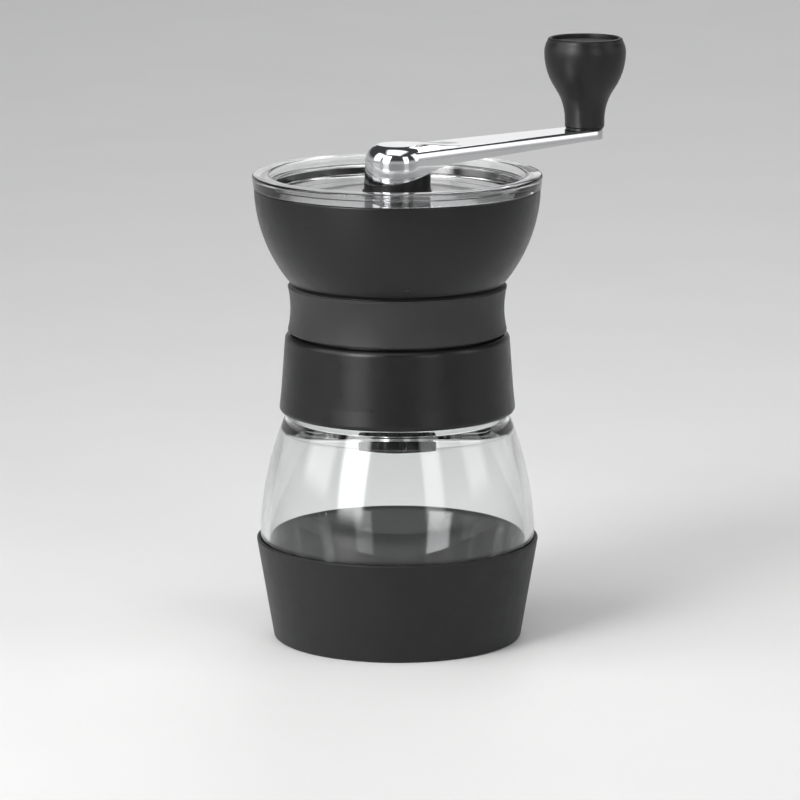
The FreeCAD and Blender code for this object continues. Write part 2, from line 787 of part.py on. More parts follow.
def make_grip_band():
    """Silicone band round the hopper's neck, dished on the outside."""
    body = new_body("grip_band")
    inner_r = hopper_neck_r + s.band_fit
    outer_r = inner_r + s.band_thick
    dish = arc_radius(s.band_dip, s.band_tall * HALF)
    turn(body, "band", [
        (inner_r, band_foot),
        (outer_r, band_foot, -dish),
        (outer_r, band_top),
        (inner_r, band_top),
    ])
    round_edges(body, "foot_round", s.band_edge, circle_at(outer_r, band_foot))
    round_edges(body, "top_round", s.band_edge, circle_at(outer_r, band_top))


def make_screws(label, circle, seat, grip):
    """Three slotted pan head screws, driven upwards from a seat, each a separate solid."""
    body = new_body(label)
    head = new_sketch(body, "head_outline", "XY_Plane", seat - s.screw_head_tall)
    draw_circle(head, s.screw_head_r, circle)
    extrude(body, "head", head, s.screw_head_tall)
    shank = new_sketch(body, "shank_outline", "XY_Plane", seat)
    draw_circle(shank, s.screw_r, circle)
    extrude(body, "shank", shank, grip)
    slot = new_sketch(body, "slot_outline", "XY_Plane", seat - s.screw_head_tall)
    half_slot = s.screw_slot_wide * HALF
    reach = s.screw_head_r + s.screw_slot_wide
    draw_outline(slot, box_corners(circle - reach, circle + reach, -half_slot, half_slot))
    extrude(body, "slot", slot, s.screw_slot_deep, adds=False)
    whole = [feature for feature in body.Group if feature.isDerivedFrom("PartDesign::Feature")]
    pattern = ring_of(body, "set", whole[0], SCREWS)
    pattern.Originals = whole
    doc.recompute()


# Bearings
def make_bearing_spider():
    """Bracket with three arms, clamped between the deck and the funnel, that carries the bushings."""
    body = new_body("bearing_spider")
    ring_r = deck_screw_circle - s.hopper_boss_r - s.spider_ring_gap
    turn(body, "ring", box_corners(s.spider_ring_in_r, ring_r, deck_top, spider_ring_top))
    arm = new_sketch(body, "arm_outline", "XZ_Plane")
    post_out = s.spider_post_gap - s.throat_r
    post_in = post_out + s.spider_post
    arm_end = -(spider_bore_r + s.spider_hub_r) * HALF
    arm_high = spider_hub_foot + s.spider_arm_tall
    draw_outline(arm, [
        (post_out, deck_top),
        (post_in, deck_top),
        (post_in, spider_hub_foot),
        (arm_end, spider_hub_foot),
        (arm_end, arm_high),
        (post_out, arm_high),
    ])
    arm_pad = extrude(body, "arm", arm, s.spider_arm_wide, both_ways=True)
    ring_of(body, "arms", arm_pad, SPIDER_ARMS)
    turn(body, "hub", box_corners(spider_bore_r, s.spider_hub_r, spider_hub_foot, spider_hub_top))


def make_bushing(label, seat, way):
    """Flanged bushing pushed into the spider's hub; way is +1 for the upper and -1 for the lower."""
    body = new_body(label)
    nose = seat - s.bushing_tall * way
    flange = seat + s.bushing_flange * way
    corners = [
        (bushing_bore_r, nose),
        (bushing_r, nose),
        (bushing_r, seat),
        (s.bushing_flange_r, seat),
        (s.bushing_flange_r, flange),
        (bushing_bore_r, flange),
    ]
    turn(body, "sleeve", corners if way > 0 else corners[::-1])


def make_washer(label, bore_r, outer_r, foot, thick):
    """Flat washer."""
    body = new_body(label)
    turn(body, "ring", box_corners(bore_r, outer_r, foot, foot + thick))
    return body


# Drive shaft
def make_drive_shaft():
    """Round shaft with a clip groove, flats along its lower end and a hexagon on top."""
    body = new_body("drive_shaft")
    clip_top = clip_foot + s.clip_thick
    turn(body, "rod", [
        (0, shaft_foot),
        (s.shaft_r, shaft_foot),
        (s.shaft_r, clip_foot),
        (clip_groove_r, clip_foot),
        (clip_groove_r, clip_top),
        (s.shaft_r, clip_top),
        (s.shaft_r, core_foot),
        (0, core_foot),
    ])
    flats = new_sketch(body, "flats_outline", "XY_Plane", shaft_foot)
    half_flats = s.shaft_flats * HALF
    beyond = s.shaft_r + s.flats_run_out
    draw_outline(flats, box_corners(-beyond, beyond, half_flats, beyond))
    draw_outline(flats, box_corners(-beyond, beyond, -beyond, -half_flats))
    extrude(body, "flats", flats, carrier_top - shaft_foot + s.flats_run_out, adds=False)
    hexes = new_sketch(body, "hex_outline", "XY_Plane", core_foot)
    draw_outline(hexes, hexagon(s.shaft_hex))
    extrude(body, "hex", hexes, s.shaft_hex_tall)
    tip_r = s.shaft_hex / math.sqrt(3)
    turn(body, "hex_point", [
        (tip_r - s.shaft_hex_chamfer, hex_top),
        (tip_r, hex_top - s.shaft_hex_chamfer),
        (tip_r + s.shaft_hex_chamfer, hex_top),
    ], adds=False)


def make_shaft_clip():
    """Open spring clip in the shaft's groove."""
    body = make_washer("shaft_clip", clip_groove_r + s.clip_fit, s.clip_r, clip_foot, s.clip_thick)
    mouth = new_sketch(body, "mouth_outline", "XY_Plane", clip_foot)
    half_mouth = s.clip_mouth * HALF
    draw_outline(mouth, box_corners(0, s.clip_r * 2, -half_mouth, half_mouth))
    extrude(body, "mouth", mouth, s.clip_thick, adds=False)


def spring_point(turns, foot, top):
    """Point of the spring's wire after a number of turns."""
    angle = 2 * math.pi * turns
    height = foot + (top - foot) * turns / SPRING_TURNS
    radius = s.spring_mean_r.value
    return Vector(radius * math.cos(angle), radius * math.sin(angle), height)


def make_burr_spring():
    """Coil spring round the shaft, between the lower washer and the burr carrier."""
    wire_r = s.spring_wire_r.value
    foot = carrier_top.value + wire_r
    top = spring_top.value - wire_r
    steps = ARCS_A_TURN * SPRING_TURNS
    arcs = []
    for step in range(steps):
        points = [spring_point((step + part) / ARCS_A_TURN, foot, top) for part in (0, HALF, 1)]
        arcs.append(Part.Arc(*points).toShape())
    path = Part.Wire(arcs)
    along = arcs[0].tangentAt(arcs[0].FirstParameter)
    section = Part.Wire(Part.makeCircle(wire_r, spring_point(0, foot, top), along))
    coil = path.makePipeShell([section], True, False)
    spring = doc.addObject("Part::Feature", "burr_spring")
    spring.Label = "burr_spring"
    spring.Shape = coil
    pieces["burr_spring"] = spring
    steps = range(SAMPLES_A_TURN * SPRING_TURNS + 1)
    line = [spring_point(step / SAMPLES_A_TURN, foot, top) for step in steps]
    nearest = min(
        first.distanceToPoint(second)
        for number, first in enumerate(line)
        for second in line[number + SAMPLES_A_TURN // 2:]
    )
    print(f"burr_spring: least gap to itself {nearest - 2 * wire_r:.2f} mm")


# Burrs and dial
def make_outer_burr():
    """Fixed ceramic ring with teeth inside and three key slots outside."""
    body = new_body("outer_burr")
    blank = new_sketch(body, "blank_outline", "XY_Plane", outer_burr_foot)
    draw_circle(blank, s.outer_burr_r)
    extrude(body, "blank", blank, s.outer_burr_tall)
    low = new_sketch(body, "low_teeth", "XY_Plane", outer_burr_foot)
    draw_outline(low, star(s.outer_tooth_low_r + s.outer_tooth_deep, s.outer_tooth_low_r, OUTER_TEETH))
    high = new_sketch(body, "high_teeth", "XY_Plane", deck_under)
    draw_outline(high, star(s.outer_tooth_high_r + s.outer_tooth_deep, s.outer_tooth_high_r, OUTER_TEETH))
    loft(body, "teeth", low, high, adds=False)
    slot = new_sketch(body, "slot_outline", "XY_Plane", deck_under - s.key_tall - s.key_fit)
    half_slot = s.key_wide * HALF + s.key_fit
    slot_end = s.key_deep - tube_bore_r + s.key_fit
    draw_outline(slot, box_corners(-tube_r, slot_end, -half_slot, half_slot))
    slot_cut = extrude(body, "slot", slot, s.key_tall + s.key_fit, adds=False)
    ring_of(body, "slots", slot_cut, SCREWS)


def make_burr_retainer():
    """Flat ring with three ears that holds the outer burr in its tube."""
    body = new_body("burr_retainer")
    turn(body, "ring", box_corners(s.retainer_in_r, tube_r, retainer_foot, outer_burr_foot))
    ear = new_sketch(body, "ear_outline", "XY_Plane", retainer_foot)
    draw_circle(ear, s.tube_boss_r, tube_boss_circle)
    ring_of(body, "ears", extrude(body, "ear", ear, s.retainer_thick), SCREWS)
    hole = new_sketch(body, "hole_outline", "XY_Plane", retainer_foot)
    draw_circle(hole, screw_hole_r, tube_boss_circle)
    ring_of(body, "holes", extrude(body, "hole", hole, s.retainer_thick, adds=False), SCREWS)


def make_inner_burr():
    """Ceramic cone with twisted feed ridges and a skirt of fine teeth."""
    body = new_body("inner_burr")
    skirt = new_sketch(body, "skirt_outline", "XY_Plane", inner_burr_foot)
    draw_outline(skirt, star(s.inner_skirt_r, s.inner_skirt_r - s.inner_skirt_deep, SKIRT_TEETH))
    extrude(body, "skirt", skirt, s.inner_skirt_tall)
    low = new_sketch(body, "low_ridges", "XY_Plane", inner_skirt_top)
    low_in_r = s.inner_ridge_low_r - s.inner_ridge_low_deep
    draw_outline(low, star(s.inner_ridge_low_r, low_in_r, INNER_RIDGES))
    high = new_sketch(body, "high_ridges", "XY_Plane", inner_burr_top)
    high.AttachmentOffset.Rotation = FreeCAD.Rotation(Vector(0, 0, 1), RIDGE_TWIST)
    high_in_r = s.inner_ridge_high_r - s.inner_ridge_high_deep
    draw_outline(high, star(s.inner_ridge_high_r, high_in_r, INNER_RIDGES))
    loft(body, "ridges", low, high)
    bore = new_sketch(body, "bore_outline", "XY_Plane", inner_burr_foot)
    draw_circle(bore, s.carrier_sleeve_r + s.carrier_fit)
    extrude(body, "bore", bore, s.inner_burr_tall, adds=False)


def make_burr_carrier():
    """Driver under the inner burr, with a flatted bore that slides on the shaft."""
    body = new_body("burr_carrier")
    turn(body, "driver", [
        (0, carrier_foot),
        (s.carrier_flange_r, carrier_foot),
        (s.carrier_flange_r, inner_burr_foot),
        (s.carrier_sleeve_r, inner_burr_foot),
        (s.carrier_sleeve_r, carrier_top),
        (0, carrier_top),
    ])
    bore = new_sketch(body, "bore_outline", "XY_Plane", carrier_foot)
    bore_r = s.shaft_r + s.carrier_slide_fit
    half_flats = s.shaft_flats * HALF + s.carrier_slide_fit
    side = leg(bore_r, half_flats)
    draw_outline(bore, [
        (side, -half_flats, bore_r),
        (side, half_flats),
        (-side, half_flats, bore_r),
        (-side, -half_flats),
    ])
    extrude(body, "bore", bore, carrier_top - carrier_foot, adds=False)


def make_detent_washer():
    """Click washer with a ring of small holes."""
    body = make_washer(
        "detent_washer", s.shaft_r + s.detent_fit, s.detent_r, dial_top, s.detent_thick
    )
    hole = new_sketch(body, "hole_outline", "XY_Plane", dial_top)
    draw_circle(hole, s.detent_hole_r, s.detent_circle)
    ring_of(body, "holes", extrude(body, "hole", hole, s.detent_thick, adds=False), CLICKS)


def make_adjuster_dial():
    """Scalloped dial with a hexagonal pocket for its nut."""
    body = new_body("adjuster_dial")
    turn(body, "disc", box_corners(s.shaft_r + s.detent_fit, s.dial_r, dial_foot, dial_top))
    round_edges(body, "foot_round", s.dial_edge, circle_at(s.dial_r, dial_foot))
    round_edges(body, "top_round", s.dial_edge, circle_at(s.dial_r, dial_top))
    scallop = new_sketch(body, "scallop_outline", "XY_Plane", dial_foot)
    draw_circle(scallop, s.dial_scallop_r, s.dial_r + s.dial_scallop_out)
    cut = extrude(body, "scallop", scallop, s.dial_tall, adds=False)
    ring_of(body, "scallops", cut, DIAL_SCALLOPS)
    pocket = new_sketch(body, "pocket_outline", "XY_Plane", dial_foot)
    draw_outline(pocket, hexagon(s.nut_flats + s.nut_fit * 2))
    extrude(body, "pocket", pocket, s.nut_tall, adds=False)


def make_dial_nut():
    """Metal nut moulded into the dial."""
    body = new_body("dial_nut")
    hexes = new_sketch(body, "hex_outline", "XY_Plane", dial_foot)
    draw_outline(hexes, hexagon(s.nut_flats))
    extrude(body, "hex", hexes, s.nut_tall)
    bore = new_sketch(body, "bore_outline", "XY_Plane", dial_foot)
    draw_circle(bore, s.shaft_r + s.shaft_fit)
    extrude(body, "bore", bore, s.nut_tall, adds=False)


# Lid
def make_lid():
    """Clear lid with a stepped recess, a hole for the hub core and a skirt inside the bowl's mouth."""
    body = new_body("lid")
    outer_r = s.hopper_rim_r + s.lid_overhang
    recess_r = outer_r - s.lid_rim_wide
    ledge_z = lid_top - s.lid_ledge_drop
    ledge_out_r = recess_r - s.lid_draft
    ledge_in_r = ledge_out_r - s.lid_ledge_wide
    hole_r = s.hub_r + s.lid_hole_gap
    skirt_foot = hopper_rim - s.lid_skirt
    skirt_r = bowl_r(skirt_foot) - s.lid_fit
    turn(body, "shell", [
        (hole_r, panel_under),
        (skirt_r - s.lid_wall, panel_under),
        (skirt_r - s.lid_wall, skirt_foot),
        (skirt_r, skirt_foot),
        (bowl_r(hopper_rim) - s.lid_fit, hopper_rim),
        (outer_r - s.lid_draft, hopper_rim),
        (outer_r, lid_top),
        (recess_r, lid_top),
        (ledge_out_r, ledge_z),
        (ledge_in_r, ledge_z),
        (ledge_in_r - s.lid_draft, panel_top),
        (hole_r, panel_top),
    ])
    round_edges(body, "rim_round", s.lid_edge, circle_at(outer_r, lid_top))
    round_edges(body, "recess_round", s.lid_recess_round, circle_at(recess_r, lid_top))


# Crank
def parting(drop):
    """The slanted line between hub and core up to the arm's tapered underside, lowered by a drop."""
    run = s.slant_end + s.hub_r
    rise = root_under - hub_low
    slant = root(run * run + rise * rise)
    taper_run = s.crank_reach - s.arm_end_r - s.slant_end
    taper_rise = arm_under - root_under
    taper = root(taper_run * taper_run + taper_rise * taper_rise)
    turned_away = rise * taper_run - run * taper_rise
    bend = s.slant_round * turned_away / (slant * taper + run * taper_run + rise * taper_rise)
    corner = root_under - drop
    return [
        (-(s.hub_r + CUT_MARGIN), hub_low - rise * CUT_MARGIN / run - drop),
        (s.slant_end - bend * run / slant, corner - bend * rise / slant, -s.slant_round),
        (s.slant_end + bend * taper_run / taper, corner + bend * taper_rise / taper),
    ]


def make_crank_arm():
    """Polished arm and domed hub in one, with a cavity for the core and a hole for the knob's pin."""
    body = new_body("crank_arm")
    base = hub_low - CUT_MARGIN
    plan = new_sketch(body, "plan", "XY_Plane", base)
    end_x = s.crank_reach
    draw_outline(plan, [
        (0, -s.arm_root_half),
        (end_x, -s.arm_end_r, s.arm_end_r),
        (end_x + s.arm_end_r, 0, s.arm_end_r),
        (end_x, s.arm_end_r),
        (0, s.arm_root_half),
    ])
    extrude(body, "blank", plan, arm_top - base)

    def outer_top(edge):
        return abs(edge.BoundBox.ZMin - arm_top.value) < NEAR and edge.BoundBox.XMax > NEAR

    round_edges(body, "top_round", s.arm_edge, outer_top)
    turn(body, "hub", [
        (0, base),
        (s.hub_r, base),
        (dome_r, dome_foot, s.hub_dome),
        (s.hub_flat_r, hub_top),
        (0, hub_top),
    ])
    under = new_sketch(body, "under_outline", "XZ_Plane")
    far_x = s.crank_reach + s.arm_end_r + CUT_MARGIN
    near_x = -(s.hub_r + CUT_MARGIN)
    below = base - CUT_MARGIN
    line = parting(0)
    flat_x = s.crank_reach - s.arm_end_r
    foot = [(near_x, below), (far_x, below), (far_x, arm_under), (flat_x, arm_under)]
    draw_outline(under, foot + reverse_run(line))
    extrude(body, "under", under, (s.hub_r + CUT_MARGIN) * 2, adds=False, both_ways=True)
    cavity = new_sketch(body, "cavity_outline", "XY_Plane", base)
    draw_circle(cavity, s.hub_r - s.hub_shell)
    extrude(body, "cavity", cavity, arm_top - s.hub_skin - base, adds=False)
    hole = new_sketch(body, "pin_hole_outline", "XY_Plane", arm_under)
    draw_circle(hole, s.pin_r + s.pin_fit, s.crank_reach)
    extrude(body, "pin_hole", hole, s.arm_thick, adds=False)
    seat = new_sketch(body, "pin_seat_outline", "XY_Plane", arm_under)
    draw_circle(seat, s.pin_head_r + s.pin_fit, s.crank_reach)
    extrude(body, "pin_seat", seat, s.pin_foot_tall, adds=False)


def reverse_run(corners):
    """The same run of corners the other way round, with each bend on the other hand."""
    backwards = []
    for number in range(len(corners) - 1, -1, -1):
        bend = corners[number - 1][2:] if number else ()
        backwards.append(corners[number][:2] + tuple(-radius for radius in bend))
    return backwards


def make_hub_core():
    """Plastic core under the hub: a skirt that meets the hub's edge, a spigot and a hex socket."""
    body = new_body("hub_core")
    skirt = new_sketch(body, "skirt_outline", "XY_Plane", core_foot)
    draw_circle(skirt, s.hub_r)
    extrude(body, "skirt", skirt, arm_under - core_foot)
    above = new_sketch(body, "above_outline", "XZ_Plane")
    line = parting(s.core_fit)
    roof = arm_top + CUT_MARGIN
    draw_outline(above, line + [(line[-1][0], roof), (line[0][0], roof)])
    extrude(body, "above", above, (s.hub_r + CUT_MARGIN) * 2, adds=False, both_ways=True)
    spigot = new_sketch(body, "spigot_outline", "XY_Plane", core_foot)
    draw_circle(spigot, s.hub_r - s.hub_shell - s.core_fit)
    extrude(body, "spigot", spigot, arm_top - s.hub_skin - s.core_fit - core_foot)
    socket = new_sketch(body, "socket_outline", "XY_Plane", core_foot)
    draw_outline(socket, hexagon(s.shaft_hex + s.core_hex_fit * 2))
    extrude(body, "socket", socket, s.shaft_hex_tall + s.core_hex_gap, adds=False)


def carry_on_arm(body):
    """Move a piece made on its own axis out to the knob's axis."""
    body.setExpression("Placement.Base.x", s.crank_reach.formula)
    doc.recompute()


def make_knob_pin():
    """Pin riveted flush into the arm, with a head that keeps the knob on."""
    body = new_body("knob_pin")
    head_top = pin_head_foot + s.pin_head_tall
    turn(body, "pin", [
        (0, arm_under),
        (s.pin_head_r, arm_under),
        (s.pin_head_r, arm_under + s.pin_foot_tall),
        (s.pin_r, arm_under + s.pin_foot_tall),
        (s.pin_r, pin_head_foot),
        (s.pin_head_r, pin_head_foot),
        (s.pin_head_r, head_top),
        (0, head_top),
    ])
    carry_on_arm(body)


def make_knob():
    """Flared knob with a bore for the pin, a chamber for its head and a recess for the cap."""
    body = new_body("knob")
    waist_z = knob_foot + s.knob_neck_tall
    belly = knob_foot + s.knob_belly_rise
    flare_r = s.knob_neck_r + (s.knob_r - s.knob_neck_r) * s.knob_flare_share
    flare_z = waist_z + (belly - waist_z) * s.knob_flare_share
    rim_side = knob_top - s.knob_rim_edge
    bore_r = s.pin_r + s.knob_run_fit
    chamber_r = s.pin_head_r + s.knob_head_fit
    turn(body, "grip", [
        (bore_r, knob_foot),
        (s.knob_neck_r, knob_foot),
        (s.knob_neck_r, waist_z, -arc_radius(flare_r - s.knob_neck_r, flare_z - waist_z)),
        (flare_r, flare_z, arc_radius(s.knob_r - flare_r, belly - flare_z)),
        (s.knob_r, belly, arc_radius(s.knob_r - s.knob_rim_r, rim_side - belly)),
        (s.knob_rim_r, rim_side, s.knob_rim_edge),
        (s.knob_rim_r - s.knob_rim_edge, knob_top),
        (knob_cap_r, knob_top),
        (knob_cap_r, knob_cap_foot),
        (chamber_r, knob_cap_foot),
        (chamber_r, knob_shoulder),
        (bore_r, knob_shoulder),
    ])
    carry_on_arm(body)


def make_knob_cap():
    """Shallow dished cap pressed into the knob's top."""
    body = new_body("knob_cap")
    rim_r = knob_cap_r - s.knob_cap_fit
    turn(body, "disc", [
        (0, knob_cap_foot),
        (rim_r, knob_cap_foot),
        (rim_r, knob_cap_top, -arc_radius(s.knob_cap_dish, rim_r)),
        (0, knob_cap_top - s.knob_cap_dish),
    ])
    carry_on_arm(body)


make_jar()
make_base_boot()
make_jar_seal()
make_collar()
make_hopper()
make_grip_band()
make_screws("deck_screws", -deck_screw_circle, deck_under, s.deck_thick + s.deck_screw_bite)
make_bearing_spider()
make_bushing("upper_bushing", spider_hub_top, 1)
make_bushing("lower_bushing", spider_hub_foot, -1)
make_outer_burr()
make_burr_retainer()
make_screws(
    "retainer_screws", tube_boss_circle, retainer_foot, s.retainer_thick + s.retainer_screw_bite
)
make_drive_shaft()
make_shaft_clip()
make_washer("thrust_washer", washer_bore_r, s.washer_r, thrust_foot, s.washer_thick)
make_washer("spring_washer", washer_bore_r, s.washer_r, spring_top, s.washer_thick)
make_burr_spring()
make_burr_carrier()
make_inner_burr()
make_detent_washer()
make_adjuster_dial()
make_dial_nut()
make_lid()
make_crank_arm()
make_hub_core()
make_knob_pin()
carry_on_arm(make_washer(
    "knob_washer", s.pin_r + s.knob_run_fit, s.knob_washer_r, arm_top, s.knob_washer_thick
))
make_knob()
make_knob_cap()
doc.recompute()

# Check every object, then write each piece
for item in doc.Objects:
    if "Invalid" in item.State or "Error" in item.State:
        raise RuntimeError(f"{item.Label} failed to compute")
SETS = {"deck_screws": SCREWS, "retainer_screws": SCREWS}
for label, piece in pieces.items():
    shape = piece.Shape
    if shape.isNull() or not shape.isValid() or len(shape.Solids) != SETS.get(label, 1):
        raise RuntimeError(f"{label} is not a sound solid")
os.makedirs("parts", exist_ok=True)
for label, piece in pieces.items():
    piece.Shape.exportStep(f"parts/{label}.step")
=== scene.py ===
"""Hand crank coffee grinder: its finishes, finely modelled pieces, soft studio light and camera.

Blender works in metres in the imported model's own frame: +Z up, the grinder's axis on Z, its foot on
the floor and the crank arm along +X. Sizes in the classes are millimetres unless a docstring says
otherwise.
"""

import json
import logging
import math
from dataclasses import dataclass, field
from enum import Enum

import bpy
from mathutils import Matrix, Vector

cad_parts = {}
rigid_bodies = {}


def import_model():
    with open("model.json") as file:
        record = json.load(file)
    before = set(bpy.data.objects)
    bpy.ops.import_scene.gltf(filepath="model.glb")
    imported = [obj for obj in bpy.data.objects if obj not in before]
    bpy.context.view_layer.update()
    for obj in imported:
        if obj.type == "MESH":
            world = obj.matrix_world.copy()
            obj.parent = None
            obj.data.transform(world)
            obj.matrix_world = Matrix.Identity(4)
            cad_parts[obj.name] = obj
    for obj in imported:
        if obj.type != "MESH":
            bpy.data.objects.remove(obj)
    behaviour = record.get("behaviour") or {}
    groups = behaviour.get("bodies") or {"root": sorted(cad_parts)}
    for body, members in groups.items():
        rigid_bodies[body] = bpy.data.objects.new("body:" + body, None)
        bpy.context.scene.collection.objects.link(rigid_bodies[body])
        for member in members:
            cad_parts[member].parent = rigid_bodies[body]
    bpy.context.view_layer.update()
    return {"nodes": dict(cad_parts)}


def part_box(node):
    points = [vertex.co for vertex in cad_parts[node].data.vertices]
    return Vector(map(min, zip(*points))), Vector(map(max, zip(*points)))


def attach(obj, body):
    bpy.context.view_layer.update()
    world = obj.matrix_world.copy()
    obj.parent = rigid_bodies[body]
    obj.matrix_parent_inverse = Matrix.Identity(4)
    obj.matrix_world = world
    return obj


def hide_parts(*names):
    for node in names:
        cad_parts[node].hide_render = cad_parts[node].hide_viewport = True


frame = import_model()

MM = 0.001
log = logging.getLogger("grinder")

Colour = tuple[float, float, float]

# Most of a noise pattern's values lie between these two
PATTERN_LOW, PATTERN_HIGH = 0.3, 0.7

# Fineness of the meshes: angle of a step along an arc, steps of a whole turn, distance in metres at
# which points are welded, and the angle from which an edge is sharp
ARC_STEP = math.radians(6.0)
TURN_STEPS = 144
WELD = 1e-6
CREASE = math.radians(32.0)


class Slot(Enum):
    """The record's material slots."""

    GLASS = "glass"
    CLEAR_PLASTIC = "clear_plastic"
    DARK_SILICONE = "dark_silicone"
    GREY_SILICONE = "grey_silicone"
    BLACK_PLASTIC = "black_plastic"
    GLOSS_BLACK_PLASTIC = "gloss_black_plastic"
    CHROME = "chrome"
    STEEL = "steel"
    BRASS = "brass"
    CERAMIC = "ceramic"


class Mix(Enum):
    """What a boolean does with its tool."""

    JOIN = "UNION"
    CUT = "DIFFERENCE"


class Shader:
    """A material's node tree, built one node at a time on Object coordinates."""

    def __init__(self, name: str) -> None:
        """Start a material with its Principled shader.

        Args:
            name: The material's name.
        """
        self.material = bpy.data.materials.new(name)
        self.material.use_nodes = True
        self.tree = self.material.node_tree
        self.surface = self.tree.nodes["Principled BSDF"]
        self.place = self.add("ShaderNodeTexCoord").outputs["Object"]

    def add(self, kind: str, inputs: dict[str, object] | None = None) -> bpy.types.Node:
        """Add a node.

        Args:
            kind: Blender's name for the node type.
            inputs: Values or output sockets for the node's inputs, by name.

        Returns:
            The new node.
        """
        node = self.tree.nodes.new(kind)
        self.set(node, inputs or {})
        return node

    def set(self, node: bpy.types.Node, inputs: dict[str, object]) -> None:
        """Give a node's inputs their values or links.

        Args:
            node: The node to set up.
            inputs: Values or output sockets by the input's name.
        """
        for name, value in inputs.items():
            if isinstance(value, bpy.types.NodeSocket):
                self.tree.links.new(value, node.inputs[name])
            else:
                node.inputs[name].default_value = value

    def noise(self, cell: float, detail: float) -> bpy.types.NodeSocket:
        """A cloudy pattern.

        Args:
            cell: Size of its patches, in millimetres.
            detail: Octaves of finer pattern.

        Returns:
            The pattern's value, around a half.
        """
        pattern = {"Vector": self.place, "Scale": 1.0 / (cell * MM), "Detail": detail}
        return self.add("ShaderNodeTexNoise", pattern).outputs["Fac"]

    def spread(self, value: bpy.types.NodeSocket, low: float, high: float) -> bpy.types.NodeSocket:
        """Stretch the middle of a pattern's values over a range.

        Args:
            value: The pattern.
            low: The result where the pattern is low.
            high: The result where the pattern is high.

        Returns:
            The stretched value.
        """
        source = {"Value": value, "From Min": PATTERN_LOW, "From Max": PATTERN_HIGH}
        return self.add("ShaderNodeMapRange", source | {"To Min": low, "To Max": high}).outputs["Result"]

    def blend(self, value: bpy.types.NodeSocket, low: Colour, high: Colour) -> bpy.types.NodeSocket:
        """Mix two colours by a pattern.

        Args:
            value: The pattern.
            low: Colour where the pattern is low.
            high: Colour where the pattern is high.

        Returns:
            The mixed colour.
        """
        ramp = self.add("ShaderNodeValToRGB", {"Fac": value})
        ends = ramp.color_ramp.elements
        ends[0].position, ends[1].position = PATTERN_LOW, PATTERN_HIGH
        ends[0].color, ends[1].color = (*low, 1.0), (*high, 1.0)
        return ramp.outputs["Color"]

    def bump(self, value: bpy.types.NodeSocket, depth: float) -> None:
        """Raise the surface by a pattern.

        Args:
            value: The pattern.
            depth: Height of its relief, in millimetres.
        """
        relief = {"Height": value, "Distance": depth * MM, "Strength": 1.0}
        self.set(self.surface, {"Normal": self.add("ShaderNodeBump", relief).outputs["Normal"]})


def shade(colour: Colour, share: float) -> Colour:
    """A colour made lighter or darker.

    Args:
        colour: The colour.
        share: How many times as bright it becomes.

    Returns:
        The new colour.
    """
    return tuple(min(1.0, part * share) for part in colour)


@dataclass(frozen=True)
class Finish:
    """A surface finish: mottled colour, uneven gloss and a fine relief.

    The cloud is the size of the patches of colour, the smear that of the patches of gloss as a share of
    it, and the grain that of the relief. Each has its detail, in octaves of finer pattern.
    """

    name: str
    colour: Colour
    roughness: float
    mottle: float = 0.08
    unevenness: float = 0.05
    grain: float = 0.25
    grain_depth: float = 0.004
    cloud: float = 14.0
    smear: float = 0.35
    specular: float = 0.5
    cloud_detail: float = 3.0
    smear_detail: float = 4.0
    grain_detail: float = 2.0

    def material(self) -> bpy.types.Material:
        """Build the finish.

        Returns:
            Its material.
        """
        shader = Shader(self.name)
        cloud = shader.noise(self.cloud, self.cloud_detail)
        smear = shader.noise(self.cloud * self.smear, self.smear_detail)
        darker, lighter = shade(self.colour, 1 - self.mottle), shade(self.colour, 1 + self.mottle)
        glossier, duller = self.roughness - self.unevenness, self.roughness + self.unevenness
        shader.set(shader.surface, {
            "Base Color": shader.blend(cloud, darker, lighter),
            "Roughness": shader.spread(smear, glossier, duller),
            "Specular IOR Level": self.specular,
        })
        shader.bump(shader.noise(self.grain, self.grain_detail), self.grain_depth)
        self.tune(shader)
        return shader.material

    def tune(self, shader: Shader) -> None:
        """Set what only some finishes have."""


@dataclass(frozen=True)
class Silicone(Finish):
    """Soft moulded rubber with a dry bloom at grazing angles."""

    bloom: float = 0.1
    bloom_roughness: float = 0.5

    def tune(self, shader: Shader) -> None:
        """Give the rubber its bloom."""
        shader.set(shader.surface, {"Sheen Weight": self.bloom, "Sheen Roughness": self.bloom_roughness})


@dataclass(frozen=True)
class Metal(Finish):
    """Bare or plated metal."""

    def tune(self, shader: Shader) -> None:
        """Make the surface metallic."""
        shader.set(shader.surface, {"Metallic": 1.0})


@dataclass(frozen=True)
class Clear(Finish):
    """Clear glass or plastic."""

    ior: float = 1.5

    def tune(self, shader: Shader) -> None:
        """Let light through."""
        shader.set(shader.surface, {"Transmission Weight": 1.0, "IOR": self.ior})


